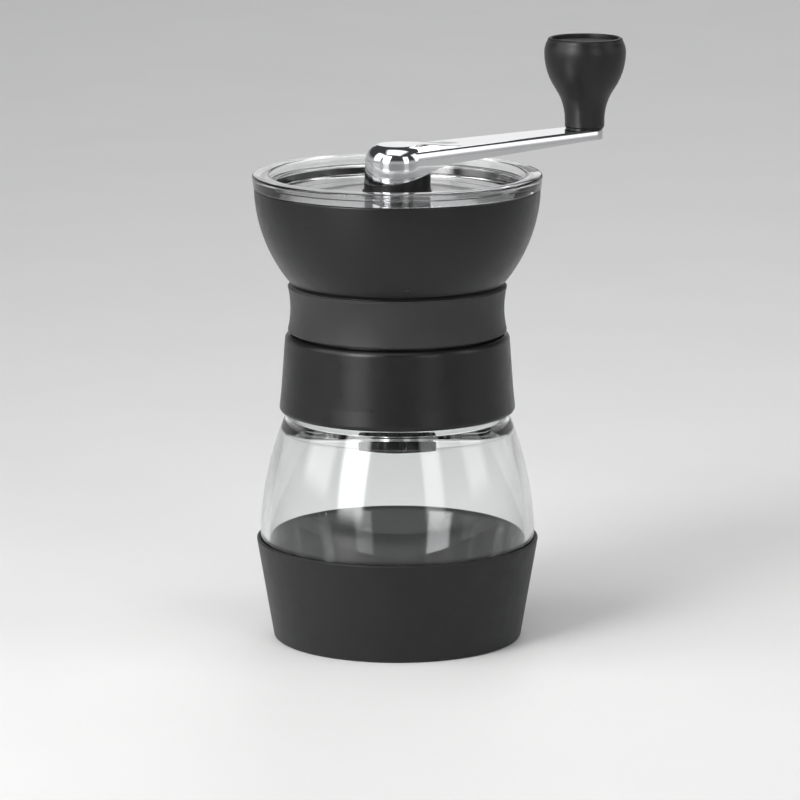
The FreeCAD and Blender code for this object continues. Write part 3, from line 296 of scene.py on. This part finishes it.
FINISHES: dict[Slot, Finish] = {
    Slot.GLASS: Clear(
        "jar_glass", (0.965, 0.98, 0.975), roughness=0.01, mottle=0.004, unevenness=0.006,
        grain=9.0, grain_depth=0.01, cloud=30.0, ior=1.5,
    ),
    Slot.CLEAR_PLASTIC: Clear(
        "lid_acrylic", (0.97, 0.975, 0.98), roughness=0.025, mottle=0.004, unevenness=0.012,
        grain=6.0, grain_depth=0.004, cloud=20.0, ior=1.49,
    ),
    Slot.DARK_SILICONE: Silicone(
        "boot_silicone", (0.009, 0.009, 0.0098), roughness=0.58, mottle=0.1,
        grain=0.7, grain_depth=0.003, specular=0.26,
    ),
    Slot.GREY_SILICONE: Silicone(
        "band_silicone", (0.022, 0.022, 0.0232), roughness=0.5, mottle=0.1,
        grain=0.7, grain_depth=0.003, specular=0.25,
    ),
    Slot.BLACK_PLASTIC: Finish(
        "satin_black_plastic", (0.004, 0.004, 0.0044), roughness=0.32, mottle=0.12,
        grain=0.5, grain_depth=0.0015, specular=0.36,
    ),
    Slot.GLOSS_BLACK_PLASTIC: Finish(
        "gloss_black_plastic", (0.006, 0.006, 0.0064), roughness=0.4, mottle=0.12, specular=0.35,
    ),
    Slot.CHROME: Metal(
        "polished_chrome", (0.62, 0.62, 0.63), roughness=0.06, mottle=0.02, unevenness=0.02,
        grain=0.6, grain_depth=0.0006,
    ),
    Slot.STEEL: Metal("turned_steel", (0.52, 0.52, 0.53), roughness=0.26, mottle=0.1, unevenness=0.08),
    Slot.BRASS: Metal("turned_brass", (0.66, 0.48, 0.2), roughness=0.28, mottle=0.12, unevenness=0.08),
    Slot.CERAMIC: Finish(
        "burr_ceramic", (0.78, 0.77, 0.73), roughness=0.34, mottle=0.03, unevenness=0.08,
        grain=0.15, grain_depth=0.006,
    ),
}


@dataclass
class Palette:
    """The finished materials, one for each slot."""

    made: dict[Slot, bpy.types.Material] = field(default_factory=dict)

    def mix(self) -> None:
        """Build every finish."""
        for slot, finish in FINISHES.items():
            self.made[slot] = finish.material()

    def dress_nodes(self) -> None:
        """Give each solid of the frame the finish of its slot."""
        for node in frame["nodes"].values():
            for number, old in enumerate(node.data.materials):
                name = old.name.split(".")[0]
                node.material_slots[number].material = self.made[Slot(name)]


@dataclass(frozen=True)
class Softbox:
    """A rectangular studio lamp that faces the grinder; lengths in metres, bearing and beam in degrees.

    The bearing is counted from the camera. The light fades out over a share of the lamp at each edge.
    """

    name: str
    bearing: float
    height: float
    distance: float
    wide: float
    tall: float
    watts: float
    beam: float = 180.0
    fade: float = 0.18

    def hang(self, camera_bearing: float, aim: Vector) -> None:
        """Add the lamp.

        Args:
            camera_bearing: Where the camera stands round the grinder, in degrees.
            aim: The point that the lamp faces, in metres.
        """
        turn = math.radians(camera_bearing + self.bearing)
        place = Vector((math.sin(turn) * self.distance, -math.cos(turn) * self.distance, self.height))
        lamp = bpy.data.lights.new(self.name, "AREA")
        lamp.shape, lamp.size, lamp.size_y, lamp.energy = "RECTANGLE", self.wide, self.tall, self.watts
        lamp.spread = math.radians(self.beam)
        self.soften(lamp)
        holder = bpy.data.objects.new(self.name, lamp)
        holder.location = place
        holder.rotation_euler = (aim - place).to_track_quat("-Z", "Y").to_euler()
        bpy.context.scene.collection.objects.link(holder)

    def soften(self, lamp: bpy.types.Light) -> None:
        """Let the lamp's light fade towards its edges.

        Args:
            lamp: The lamp's data.
        """
        lamp.use_nodes = True
        tree = lamp.node_tree
        middle = 0.5
        offset = tree.nodes.new("ShaderNodeVectorMath")
        offset.operation = "SUBTRACT"
        offset.inputs[1].default_value = (middle, middle, 0.0)
        away = tree.nodes.new("ShaderNodeVectorMath")
        away.operation = "ABSOLUTE"
        split = tree.nodes.new("ShaderNodeSeparateXYZ")
        both = tree.nodes.new("ShaderNodeMath")
        both.operation = "MULTIPLY"
        tree.links.new(tree.nodes.new("ShaderNodeNewGeometry").outputs["Parametric"], offset.inputs[0])
        tree.links.new(offset.outputs["Vector"], away.inputs[0])
        tree.links.new(away.outputs["Vector"], split.inputs["Vector"])
        for side, factor in zip("XY", both.inputs):
            fade = tree.nodes.new("ShaderNodeMapRange")
            fade.interpolation_type = "SMOOTHSTEP"
            fade.inputs["From Min"].default_value = middle
            fade.inputs["From Max"].default_value = middle - self.fade
            tree.links.new(split.outputs[side], fade.inputs["Value"])
            tree.links.new(fade.outputs["Result"], factor)
        tree.links.new(both.outputs["Value"], tree.nodes["Emission"].inputs["Strength"])


@dataclass
class Studio:
    """Floor, sky, lamps and camera; lengths in metres, angles in degrees, lens and sensor in millimetres.

    The haze says how far up the sky, from 0 at the horizon to 1 overhead, its pale band ends and its dim
    ceiling starts.
    """

    bearing: float = -40.0
    elevation: float = 11.13
    distance: float = 1.584
    aim_height: float = 0.08153
    aside: float = 0.0009
    lens: float = 209.6
    sensor: float = 36.0
    floor_reach: float = 2.6
    floor_paint: Finish = Finish(
        "floor_paint", (0.8, 0.8, 0.795), roughness=0.55, mottle=0.01, unevenness=0.03,
        grain=1.5, grain_depth=0.01, cloud=90.0,
    )
    horizon: Colour = (0.6, 0.6, 0.605)
    zenith: Colour = (0.075, 0.077, 0.08)
    haze: tuple[float, float] = (0.1, 0.32)
    lamps: tuple[Softbox, ...] = (
        Softbox(
            "left_strip", bearing=-41.0, height=0.5, distance=0.9, wide=0.5, tall=1.0, watts=3.3,
            beam=80.0,
        ),
        Softbox(
            "right_strip", bearing=33.0, height=0.5, distance=1.0, wide=0.4, tall=1.0, watts=0.7,
            beam=80.0,
        ),
        Softbox("left_softbox", bearing=-80.0, height=1.4, distance=2.4, wide=1.8, tall=2.6, watts=36.0),
        Softbox("right_softbox", bearing=80.0, height=1.4, distance=2.6, wide=1.4, tall=2.6, watts=20.0),
        Softbox("low_back_softbox", bearing=178.0, height=0.75, distance=3.0, wide=1.6, tall=0.9, watts=2.6),
        Softbox("high_back_softbox", bearing=165.0, height=2.6, distance=3.2, wide=2.4, tall=1.2, watts=30.0),
        Softbox("top_softbox", bearing=-20.0, height=4.4, distance=0.8, wide=4.4, tall=4.4, watts=115.0),
    )

    def build(self) -> None:
        """Set up the whole studio."""
        self.lay_floor()
        self.light_sky()
        aim = Vector((0.0, 0.0, self.aim_height))
        for lamp in self.lamps:
            lamp.hang(self.bearing, aim)
        self.set_camera(aim)
        bpy.context.scene.view_settings.view_transform = "Standard"

    def lay_floor(self) -> None:
        """A wide pale floor at the grinder's foot."""
        deselect()
        bpy.ops.mesh.primitive_plane_add(size=2 * self.floor_reach, location=(0.0, 0.0, 0.0))
        floor = bpy.context.object
        floor.name = "studio_floor"
        floor.data.materials.append(self.floor_paint.material())

    def light_sky(self) -> None:
        """A pale band all round at the horizon, under a dim ceiling."""
        world = bpy.data.worlds.new("studio_sky")
        bpy.context.scene.world = world
        world.use_nodes = True
        tree = world.node_tree
        way = tree.nodes.new("ShaderNodeTexCoord").outputs["Generated"]
        split = tree.nodes.new("ShaderNodeSeparateXYZ")
        ramp = tree.nodes.new("ShaderNodeValToRGB")
        tree.links.new(way, split.inputs["Vector"])
        tree.links.new(split.outputs["Z"], ramp.inputs["Fac"])
        ends = ramp.color_ramp.elements
        ends[0].color, ends[1].color = (*self.horizon, 1.0), (*self.zenith, 1.0)
        ends[0].position, ends[1].position = self.haze
        tree.links.new(ramp.outputs["Color"], tree.nodes["Background"].inputs["Color"])

    def set_camera(self, aim: Vector) -> None:
        """Put the camera where the photograph was taken.

        Args:
            aim: The point of the grinder's axis that lies level with the picture's centre.
        """
        turn, rise = math.radians(self.bearing), math.radians(self.elevation)
        back = Vector((math.sin(turn) * math.cos(rise), -math.cos(turn) * math.cos(rise), math.sin(rise)))
        right = Vector((math.cos(turn), math.sin(turn), 0.0))
        data = bpy.data.cameras.new("photo_camera")
        data.lens, data.sensor_width = self.lens, self.sensor
        camera = bpy.data.objects.new("photo_camera", data)
        camera.location = aim + back * self.distance + right * self.aside
        camera.rotation_euler = (-back).to_track_quat("-Z", "Y").to_euler()
        bpy.context.scene.collection.objects.link(camera)
        bpy.context.scene.camera = camera


def deselect() -> None:
    """Leave nothing selected, in object mode."""
    if bpy.context.object and bpy.context.object.mode != "OBJECT":
        bpy.ops.object.mode_set(mode="OBJECT")
    bpy.ops.object.select_all(action="DESELECT")


@dataclass(frozen=True)
class Corner:
    """A corner of an outline: its place, its rounding, and the radius of an arc from it to the next.

    An arc with a positive radius has its centre on the left of the way along the outline. It has as
    many steps as it is told, or as many as its angle needs.
    """

    across: float
    up: float
    round: float = 0.0
    bow: float = 0.0
    steps: int = 0

    @property
    def spot(self) -> Vector:
        """The corner's place."""
        return Vector((self.across, self.up))


def bow(start: Vector, end: Vector, radius: float, steps: int = 0) -> list[Vector]:
    """The points of an arc, without its ends.

    Args:
        start: Where the arc starts.
        end: Where it ends.
        radius: Its radius, positive where the centre is on the left.
        steps: How many steps it takes; none for as many as its angle needs.

    Returns:
        The points in between.
    """
    way = end - start
    half = math.asin(min(1.0, way.length / (2 * abs(radius))))
    left = Vector((-way.y, way.x)).normalized()
    centre = (start + end) / 2 + left * math.copysign(abs(radius) * math.cos(half), radius)
    count = steps or max(2, round(2 * half / ARC_STEP))
    turn = math.copysign(2 * half, radius) / count
    spoke = start - centre
    points = []
    for step in range(1, count):
        angle = turn * step
        points.append(centre + Vector((
            spoke.x * math.cos(angle) - spoke.y * math.sin(angle),
            spoke.x * math.sin(angle) + spoke.y * math.cos(angle),
        )))
    return points


def rounding(before: Vector, corner: Corner, after: Vector) -> list[Vector]:
    """The arc that rounds a corner between two straight sides.

    Args:
        before: The point before the corner.
        corner: The corner.
        after: The point after it.

    Returns:
        The arc's points, with its ends.
    """
    back = (before - corner.spot).normalized()
    ahead = (after - corner.spot).normalized()
    reach = corner.round / math.tan(back.angle(ahead) / 2)
    start, end = corner.spot + back * reach, corner.spot + ahead * reach
    left = ahead.x * back.y - ahead.y * back.x > 0
    return [start, *bow(start, end, corner.round if left else -corner.round), end]


def trace(corners: list[Corner]) -> list[Vector]:
    """Follow an outline.

    Args:
        corners: Its corners in order.

    Returns:
        Its points, with every arc worked out.
    """
    points = []
    for number, corner in enumerate(corners):
        after = corners[(number + 1) % len(corners)].spot
        if corner.round:
            points += rounding(corners[number - 1].spot, corner, after)
        else:
            points.append(corner.spot)
        if corner.bow:
            points += bow(corner.spot, after, corner.bow, corner.steps)
    return points


def draw(places: list[Vector]) -> bpy.types.Object:
    """Fold a plane to a point and extrude it along a line; edit mode stays on with the line selected.

    Args:
        places: The line's points, in metres.

    Returns:
        The object that holds the line: a new one, or the one in edit mode.
    """
    bpy.ops.mesh.primitive_plane_add(size=1.0, location=(0.0, 0.0, 0.0))
    piece = bpy.context.object
    bpy.ops.object.mode_set(mode="EDIT")
    bpy.ops.mesh.merge(type="CENTER")
    bpy.ops.transform.translate(value=places[0])
    for here, there in zip(places, places[1:]):
        bpy.ops.mesh.extrude_region_move(TRANSFORM_OT_translate={"value": there - here})
    bpy.ops.mesh.select_linked()
    return piece


def tidy_mesh(piece: bpy.types.Object, name: str) -> bpy.types.Object:
    """Merge what coincides, turn the faces outwards and smooth all but the sharp edges.

    Args:
        piece: The object in edit mode.
        name: The name that it gets.

    Returns:
        The same object, in object mode.
    """
    bpy.ops.mesh.select_all(action="SELECT")
    bpy.ops.mesh.remove_doubles(threshold=WELD)
    bpy.ops.mesh.normals_make_consistent(inside=False)
    bpy.ops.object.mode_set(mode="OBJECT")
    bpy.ops.object.shade_smooth_by_angle(angle=CREASE)
    piece.name = piece.data.name = name
    return piece


def turned(name: str, corners: list[Corner], axis_x: float = 0.0) -> bpy.types.Object:
    """Spin an outline round an upright axis.

    Args:
        name: The new object's name.
        corners: The outline; it is closed unless it starts and ends on the axis.
        axis_x: Where the axis stands, in millimetres along X.

    Returns:
        The turned object.
    """
    points = trace(corners)
    if points[0].x > 0:
        points.append(points[0])
    deselect()
    piece = draw([Vector((axis_x + point.x, 0.0, point.y)) * MM for point in points])
    bpy.ops.mesh.spin(
        steps=TURN_STEPS, angle=2 * math.pi, center=(axis_x * MM, 0.0, 0.0), axis=(0.0, 0.0, 1.0)
    )
    return tidy_mesh(piece, name)


def stacked(name: str, rings: list[tuple[float, list[Corner]]]) -> bpy.types.Object:
    """Bridge a stack of outlines drawn level, and close it at both ends.

    Args:
        name: The new object's name.
        rings: The height and outline of each ring from the foot up, all with as many points.

    Returns:
        The closed object.
    """
    deselect()
    for number, (height, corners) in enumerate(rings):
        piece = draw([Vector((point.x, point.y, height)) * MM for point in trace(corners)])
        bpy.ops.mesh.edge_face_add()
        if number:
            bpy.ops.mesh.delete(type="ONLY_FACE")
            bpy.ops.mesh.select_non_manifold()
            bpy.ops.mesh.bridge_edge_loops()
            bpy.ops.mesh.select_all(action="DESELECT")
    bpy.ops.mesh.select_non_manifold()
    bpy.ops.mesh.edge_face_add()
    return tidy_mesh(piece, name)


def rail(name: str, corners: list[Corner], half: float) -> bpy.types.Object:
    """Stretch an outline seen from the side along Y, both ways.

    Args:
        name: The new object's name.
        corners: The outline, along X and up.
        half: How far it reaches to each side.

    Returns:
        The bar.
    """
    deselect()
    piece = draw([Vector((point.x, -half, point.y)) * MM for point in trace(corners)])
    bpy.ops.mesh.edge_face_add()
    bpy.ops.mesh.extrude_region_move(TRANSFORM_OT_translate={"value": (0.0, 2 * half * MM, 0.0)})
    return tidy_mesh(piece, name)


def combine(piece: bpy.types.Object, tool: bpy.types.Object, mix: Mix) -> None:
    """Join one object to another or cut it out of it, and throw the tool away.

    Args:
        piece: What stays.
        tool: What is joined to it or cut out of it.
        mix: Which of the two.
    """
    deselect()
    bpy.context.view_layer.objects.active = piece
    modifier = piece.modifiers.new("combine", "BOOLEAN")
    modifier.operation, modifier.solver, modifier.object = mix.value, "EXACT", tool
    bpy.ops.object.modifier_apply(modifier=modifier.name)
    bpy.data.objects.remove(tool)


def smooth(piece: bpy.types.Object, crease: float = CREASE) -> None:
    """Smooth all but the sharp edges of a piece.

    Args:
        piece: The piece.
        crease: The angle from which an edge is sharp.
    """
    deselect()
    piece.select_set(True)
    bpy.context.view_layer.objects.active = piece
    bpy.ops.object.shade_smooth_by_angle(angle=crease)
    level = piece.modifiers.new("level", "WEIGHTED_NORMAL")
    level.keep_sharp = True
    bpy.ops.object.modifier_apply(modifier=level.name)


def box_mm(node: str) -> tuple[Vector, Vector]:
    """Corners of a node of the frame, in millimetres.

    Args:
        node: The node's name.

    Returns:
        Its lowest and highest corner.
    """
    low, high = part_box(node)
    return low / MM, high / MM


@dataclass
class Assembly:
    """A group of pieces that share the palette."""

    palette: Palette

    def build(self) -> None:
        """Model the pieces; each assembly has its own way."""
        raise NotImplementedError

    def keep(self, piece: bpy.types.Object, body: str, slot: Slot, node: str) -> None:
        """Finish a piece: its material, the body that carries it and the node it stands for.

        Args:
            piece: The modelled piece.
            body: The body of the frame that it moves with.
            slot: Its finish.
            node: The frame's node that it replaces.
        """
        piece.data.materials.clear()
        piece.data.materials.append(self.palette.made[slot])
        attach(piece, body)
        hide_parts(node)
        log.info("%s on %s: %d faces", piece.name, body, len(piece.data.polygons))


@dataclass
class ClearLid(Assembly):
    """The clear lid: a thick rim round a stepped recess, with a skirt inside the bowl's mouth."""

    rim_wide: float = 5.8
    rim_tall: float = 4.46
    edge: float = 0.7
    recess_round: float = 1.3
    ledge_drop: float = 2.7
    ledge_wide: float = 1.8
    draft: float = 0.5
    soft: float = 0.35
    panel_drop: float = 5.85
    panel_thick: float = 1.8
    hole_r: float = 11.7
    skirt_r: float = 45.0
    skirt_top_r: float = 45.8

    def build(self) -> None:
        """Turn the lid."""
        low, high = box_mm("lid")
        top, foot, outer_r = high.z, low.z, high.y
        seat = top - self.rim_tall
        recess_r = outer_r - self.rim_wide
        ledge_z = top - self.ledge_drop
        ledge_r = recess_r - self.draft
        step_r = ledge_r - self.ledge_wide
        panel = top - self.panel_drop
        under = panel - self.panel_thick
        wall_r = self.skirt_r - self.panel_thick
        piece = turned("clear_lid", [
            Corner(self.hole_r, under, self.soft),
            Corner(wall_r, under, self.soft),
            Corner(wall_r, foot, self.soft),
            Corner(self.skirt_r, foot, self.soft),
            Corner(self.skirt_top_r, seat, self.soft / 2),
            Corner(outer_r - self.draft, seat, self.soft),
            Corner(outer_r, top, self.edge),
            Corner(recess_r, top, self.recess_round),
            Corner(ledge_r, ledge_z, self.soft),
            Corner(step_r, ledge_z, self.soft),
            Corner(step_r - self.draft, panel, self.soft),
            Corner(self.hole_r, panel, self.soft),
        ])
        self.keep(piece, "lid", Slot.CLEAR_PLASTIC, "lid")


def sweep_radius(rise: float, run: float) -> float:
    """Radius of an arc that starts along the run and ends one rise beside it."""
    return (rise ** 2 + run ** 2) / (2 * rise)


@dataclass
class Jar(Assembly):
    """The thick glass jar, with a ridge of thread round its neck."""

    foot_r: float = 40.9
    foot_round: float = 5.0
    belly_rise: float = 31.0
    shoulder_step: float = 3.7
    shoulder_rise: float = 43.2
    shoulder_drop: float = 4.2
    floor: float = 4.5
    wall: float = 3.0
    neck_r: float = 34.6
    neck_wall: float = 2.8
    neck_tall: float = 17.8
    neck_fillet: float = 0.8
    rim_round: float = 0.8
    thread_rise: float = 6.3
    thread_bite: float = 0.3
    thread_deep: float = 1.5
    thread_root: float = 2.6
    thread_crest: float = 1.2
    thread_lead: float = 5.0
    thread_turns: float = 1.3
    side_steps: int = 24

    def build(self) -> None:
        """Turn the jar and run the thread round its neck."""
        low, high = box_mm("jar")
        belly_r, belly = high.y, low.z + self.belly_rise
        shoulder_r, shoulder = self.neck_r + self.shoulder_step, belly + self.shoulder_rise
        side = sweep_radius(belly_r - shoulder_r, self.shoulder_rise)
        neck_z = high.z - self.neck_tall
        upright = 1 - (belly_r - shoulder_r) / side
        shoulder_round = (self.shoulder_step - self.neck_fillet) / upright
        mouth_r = self.neck_r - self.neck_wall
        inner_top = shoulder - self.shoulder_drop
        reach = math.sqrt((side - self.wall) ** 2 - (inner_top - belly) ** 2)
        inner_r = belly_r - side + reach
        piece = turned("jar_glass", [
            Corner(0.0, low.z),
            Corner(self.foot_r, low.z, self.foot_round),
            Corner(belly_r, belly, bow=side, steps=self.side_steps),
            Corner(shoulder_r, shoulder, bow=shoulder_round),
            Corner(self.neck_r + self.neck_fillet, neck_z, bow=-self.neck_fillet),
            Corner(self.neck_r, neck_z + self.neck_fillet),
            Corner(self.neck_r, high.z, self.rim_round),
            Corner(mouth_r, high.z, self.rim_round),
            Corner(mouth_r, inner_top + inner_r - mouth_r),
            Corner(inner_r, inner_top, bow=self.wall - side, steps=self.side_steps),
            Corner(belly_r - self.wall, belly),
            Corner(self.foot_r - self.wall, low.z + self.floor, self.foot_round),
            Corner(0.0, low.z + self.floor),
        ])
        combine(piece, self.thread(neck_z + self.thread_rise), Mix.JOIN)
        smooth(piece)
        self.keep(piece, "jar", Slot.GLASS, "jar")

    def thread(self, start: float) -> bpy.types.Object:
        """The ridge of thread: its section swept up round the neck.

        Args:
            start: Height of the ridge's middle where it starts.

        Returns:
            The closed ridge.
        """
        root_r, crest_r = self.neck_r - self.thread_bite, self.neck_r + self.thread_deep
        root, crest = self.thread_root / 2, self.thread_crest / 2
        section = [(root_r, -root), (crest_r, -crest), (crest_r, crest), (root_r, root)]
        deselect()
        piece = draw([Vector((across, 0.0, start + up)) * MM for across, up in section])
        bpy.ops.mesh.edge_face_add()
        bpy.ops.object.mode_set(mode="OBJECT")
        sweep = piece.modifiers.new("sweep", "SCREW")
        sweep.angle = 2 * math.pi * self.thread_turns
        sweep.screw_offset = self.thread_lead * self.thread_turns * MM
        sweep.steps = sweep.render_steps = round(TURN_STEPS * self.thread_turns)
        sweep.use_merge_vertices = False
        bpy.ops.object.modifier_apply(modifier=sweep.name)
        bpy.ops.object.mode_set(mode="EDIT")
        bpy.ops.mesh.select_all(action="SELECT")
        bpy.ops.mesh.remove_doubles(threshold=WELD)
        bpy.ops.mesh.select_all(action="DESELECT")
        bpy.ops.mesh.select_non_manifold()
        bpy.ops.mesh.fill_holes(sides=0)
        return tidy_mesh(piece, "thread")


@dataclass
class BaseBoot(Assembly):
    """The silicone boot over the jar's foot, with a soft lip."""

    foot_r: float = 42.2
    wall: float = 1.2
    floor: float = 1.9
    lip_tall: float = 1.6
    foot_round: float = 1.0
    well_round: float = 5.0
    lip_round: float = 0.55

    def build(self) -> None:
        """Turn the boot."""
        _, high = box_mm("base_boot")
        lip_r, lip_z = high.y, high.z
        piece = turned("base_boot_rubber", [
            Corner(0.0, 0.0),
            Corner(self.foot_r, 0.0, self.foot_round),
            Corner(lip_r, lip_z, self.lip_round),
            Corner(lip_r - self.wall, lip_z, self.lip_round),
            Corner(lip_r - self.wall, lip_z - self.lip_tall),
            Corner(self.foot_r - self.wall, self.floor, self.well_round),
            Corner(0.0, self.floor),
        ])
        self.keep(piece, "jar", Slot.DARK_SILICONE, "base_boot")


def smooth_step_inverse(share: float) -> float:
    """How far along a smooth step, which is level at both ends, it has climbed a share of its height."""
    return 0.5 - math.sin(math.asin(1 - 2 * share) / 3)


@dataclass
class Crank(Assembly):
    """The polished arm, which runs out of its domed hub.

    The arm and the hub's top are stacks of level outlines. Each has the hub's round at one end and a
    round end or nose at the other. The hub's top lies sunk in the arm's hub by a hair, so that their
    walls don't coincide.
    """

    hub_r: float = 11.2
    hub_draft: float = 0.4
    hub_rise: float = 1.85
    hub_flat_r: float = 6.9
    hub_dome: float = 5.5
    hub_skin: float = 2.2
    hub_shell: float = 1.8
    hub_sink: float = 0.01
    nose_start: float = 7.3
    nose_end: float = 27.0
    nose_round: tuple[float, float] = (7.0, 5.5)
    reach: float = 85.0
    end_r: float = 6.4
    thick: float = 3.6
    root_thick: float = 5.1
    arm_edge: float = 0.9
    hub_steps: int = 24
    end_steps: int = 12
    edge_steps: int = 8
    dome_steps: int = 6
    crease: float = math.radians(14.0)
    slant_end: float = 15.0
    slant_round: float = 30.0
    pin_r: float = 2.55
    pin_seat_r: float = 4.25
    pin_seat_deep: float = 1.0
    cut_margin: float = 2.0

    def plan(self, hub_r: float, end_r: float, reach: float) -> list[Corner]:
        """An outline from above: the hub's round and a round end, joined by their tangents.

        Args:
            hub_r: The hub's radius at this height.
            end_r: The radius of the end at this height.
            reach: How far from the hub's middle the end's middle is.

        Returns:
            Its corners, anticlockwise from the hub's back.
        """
        lean = (hub_r - end_r) / reach
        upright = math.sqrt(1 - lean ** 2)
        end_x = reach + end_r * lean
        return [
            Corner(-hub_r, 0.0, bow=hub_r, steps=self.hub_steps),
            Corner(hub_r * lean, -hub_r * upright),
            Corner(end_x, -end_r * upright, bow=end_r, steps=self.end_steps),
            Corner(reach + end_r, 0.0, bow=end_r, steps=self.end_steps),
            Corner(end_x, end_r * upright),
            Corner(hub_r * lean, hub_r * upright, bow=hub_r, steps=self.hub_steps),
        ]

    def dome_foot(self) -> float:
        """Depth below the hub's top at which its rounding starts."""
        across = self.hub_flat_r - self.hub_r + self.hub_draft + self.hub_dome
        return math.sqrt(self.hub_dome ** 2 - across ** 2)

    def hub_radius(self, below: float, base: float) -> float:
        """The hub's radius at a depth.

        Args:
            below: Depth below its top.
            base: Depth of its foot, where it is widest.

        Returns:
            The radius on the dome or on the drafted wall under it.
        """
        foot = self.dome_foot()
        wall_r = self.hub_r - self.hub_draft
        if below > foot:
            return wall_r + self.hub_draft * (below - foot) / (base - foot)
        return wall_r - self.hub_dome + math.sqrt(self.hub_dome ** 2 - (foot - below) ** 2)

    def arm_rings(self, base: float, top: float) -> list[tuple[float, list[Corner]]]:
        """The arm's outlines from its foot up: they follow the dome and round the arm's top edge.

        Args:
            base: Height of the lowest.
            top: Height of the arm's top.

        Returns:
            The height and outline of each.
        """
        hub_top = top + self.hub_rise
        dome_z, edge_z = hub_top - self.dome_foot(), top - self.arm_edge
        heights = [base]
        for step in range(self.dome_steps):
            heights.append(dome_z + (edge_z - dome_z) * step / self.dome_steps)
        for step in range(self.edge_steps + 1):
            heights.append(edge_z + self.arm_edge * math.sin(math.pi / 2 * step / self.edge_steps))
        rings = []
        for height in heights:
            climb = max(0.0, height - edge_z)
            inset = self.arm_edge - math.sqrt(max(0.0, self.arm_edge ** 2 - climb ** 2))
            hub_r = self.hub_radius(hub_top - height, hub_top - base)
            rings.append((height, self.plan(hub_r, self.end_r - inset, self.reach)))
        return rings

    def top_rings(self, base: float, top: float) -> list[tuple[float, list[Corner]]]:
        """The outlines of the hub's top, from inside the arm up: their nose draws back as they rise.

        Args:
            base: Height of the hub's foot.
            top: Height of the arm's top.

        Returns:
            The height and outline of each.
        """
        hub_top = top + self.hub_rise
        wide, narrow = self.nose_round
        rings = []
        for step in range(-1, self.dome_steps + 1):
            height = top + self.hub_rise * step / self.dome_steps
            share = max(0, step) / self.dome_steps
            tip = self.nose_end + (self.nose_start - self.nose_end) * smooth_step_inverse(share)
            end_r = wide + (narrow - wide) * share
            hub_r = self.hub_radius(hub_top - height, hub_top - base) - self.hub_sink
            rings.append((height, self.plan(hub_r, end_r, tip - end_r)))
        return rings

    def build(self) -> None:
        """Join the hub's top to the arm, then cut its slanted foot, the core's cavity and the pin's hole."""
        low, high = box_mm("crank_arm")
        hub_top, base = high.z, low.z - self.cut_margin
        top = hub_top - self.hub_rise
        under = top - self.thick
        piece = stacked("crank_arm_chrome", self.arm_rings(base, top))
        combine(piece, stacked("hub_top", self.top_rings(base, top)), Mix.JOIN)
        margin = self.cut_margin
        below, far_x = base - margin, self.reach + self.end_r + margin
        slope = (top - self.root_thick - low.z) / (self.slant_end + self.hub_r)
        combine(piece, rail("under_cutter", [
            Corner(-self.hub_r - margin, below),
            Corner(far_x, below),
            Corner(far_x, under),
            Corner(self.reach - self.end_r, under),
            Corner(self.slant_end, top - self.root_thick, self.slant_round),
            Corner(-self.hub_r - margin, low.z - slope * margin),
        ], self.hub_r + margin), Mix.CUT)
        cavity_r = self.hub_r - self.hub_shell
        combine(piece, turned("cavity_cutter", [
            Corner(0.0, below),
            Corner(cavity_r, below),
            Corner(cavity_r, top - self.hub_skin),
            Corner(0.0, top - self.hub_skin),
        ]), Mix.CUT)
        seat_z = under + self.pin_seat_deep
        combine(piece, turned("pin_cutter", [
            Corner(0.0, under - margin),
            Corner(self.pin_seat_r, under - margin),
            Corner(self.pin_seat_r, seat_z),
            Corner(self.pin_r, seat_z),
            Corner(self.pin_r, top + margin),
            Corner(0.0, top + margin),
        ], self.reach), Mix.CUT)
        smooth(piece, self.crease)
        self.keep(piece, "crank", Slot.CHROME, "crank_arm")


@dataclass
class Knob(Assembly):
    """The flared knob that turns on its pin, hollow for the pin's head and dished on top for the cap."""

    neck_r: float = 6.9
    neck_tall: float = 2.4
    belly_rise: float = 26.0
    flare_share: float = 0.46
    rim_r: float = 13.1
    rim_edge: float = 1.0
    rim_wide: float = 1.5
    cap_drop: float = 3.2
    bore_r: float = 2.58
    chamber_r: float = 4.6
    web: float = 8.0
    soft: float = 0.4
    lip_round: float = 0.49

    def build(self) -> None:
        """Turn the knob."""
        low, high = box_mm("knob")
        foot, top = low.z, high.z
        wide_r, axis_x = high.y, (low.x + high.x) / 2
        waist, belly = foot + self.neck_tall, foot + self.belly_rise
        flare_r = self.neck_r + (wide_r - self.neck_r) * self.flare_share
        flare = waist + (belly - waist) * self.flare_share
        rim = top - self.rim_edge
        cap_r = self.rim_r - self.rim_wide
        cap, shoulder = top - self.cap_drop, top - self.cap_drop - self.web
        piece = turned("crank_knob", [
            Corner(self.bore_r, foot),
            Corner(self.neck_r, foot, self.soft),
            Corner(self.neck_r, waist, bow=-sweep_radius(flare_r - self.neck_r, flare - waist)),
            Corner(flare_r, flare, bow=sweep_radius(wide_r - flare_r, belly - flare)),
            Corner(wide_r, belly, bow=sweep_radius(wide_r - self.rim_r, rim - belly)),
            Corner(self.rim_r, rim, bow=self.rim_edge),
            Corner(self.rim_r - self.rim_edge, top),
            Corner(cap_r, top, self.lip_round),
            Corner(cap_r, cap),
            Corner(self.chamber_r, cap),
            Corner(self.chamber_r, shoulder),
            Corner(self.bore_r, shoulder),
        ], axis_x)
        self.keep(piece, "knob", Slot.GLOSS_BLACK_PLASTIC, "knob")


def main() -> None:
    """Build the grinder's looks and its studio."""
    logging.basicConfig(level=logging.INFO, format="%(name)s: %(message)s")
    palette = Palette()
    palette.mix()
    palette.dress_nodes()
    for assembly in (Jar(palette), BaseBoot(palette), ClearLid(palette), Crank(palette), Knob(palette)):
        assembly.build()
    Studio().build()


if __name__ == "__main__":
    main()
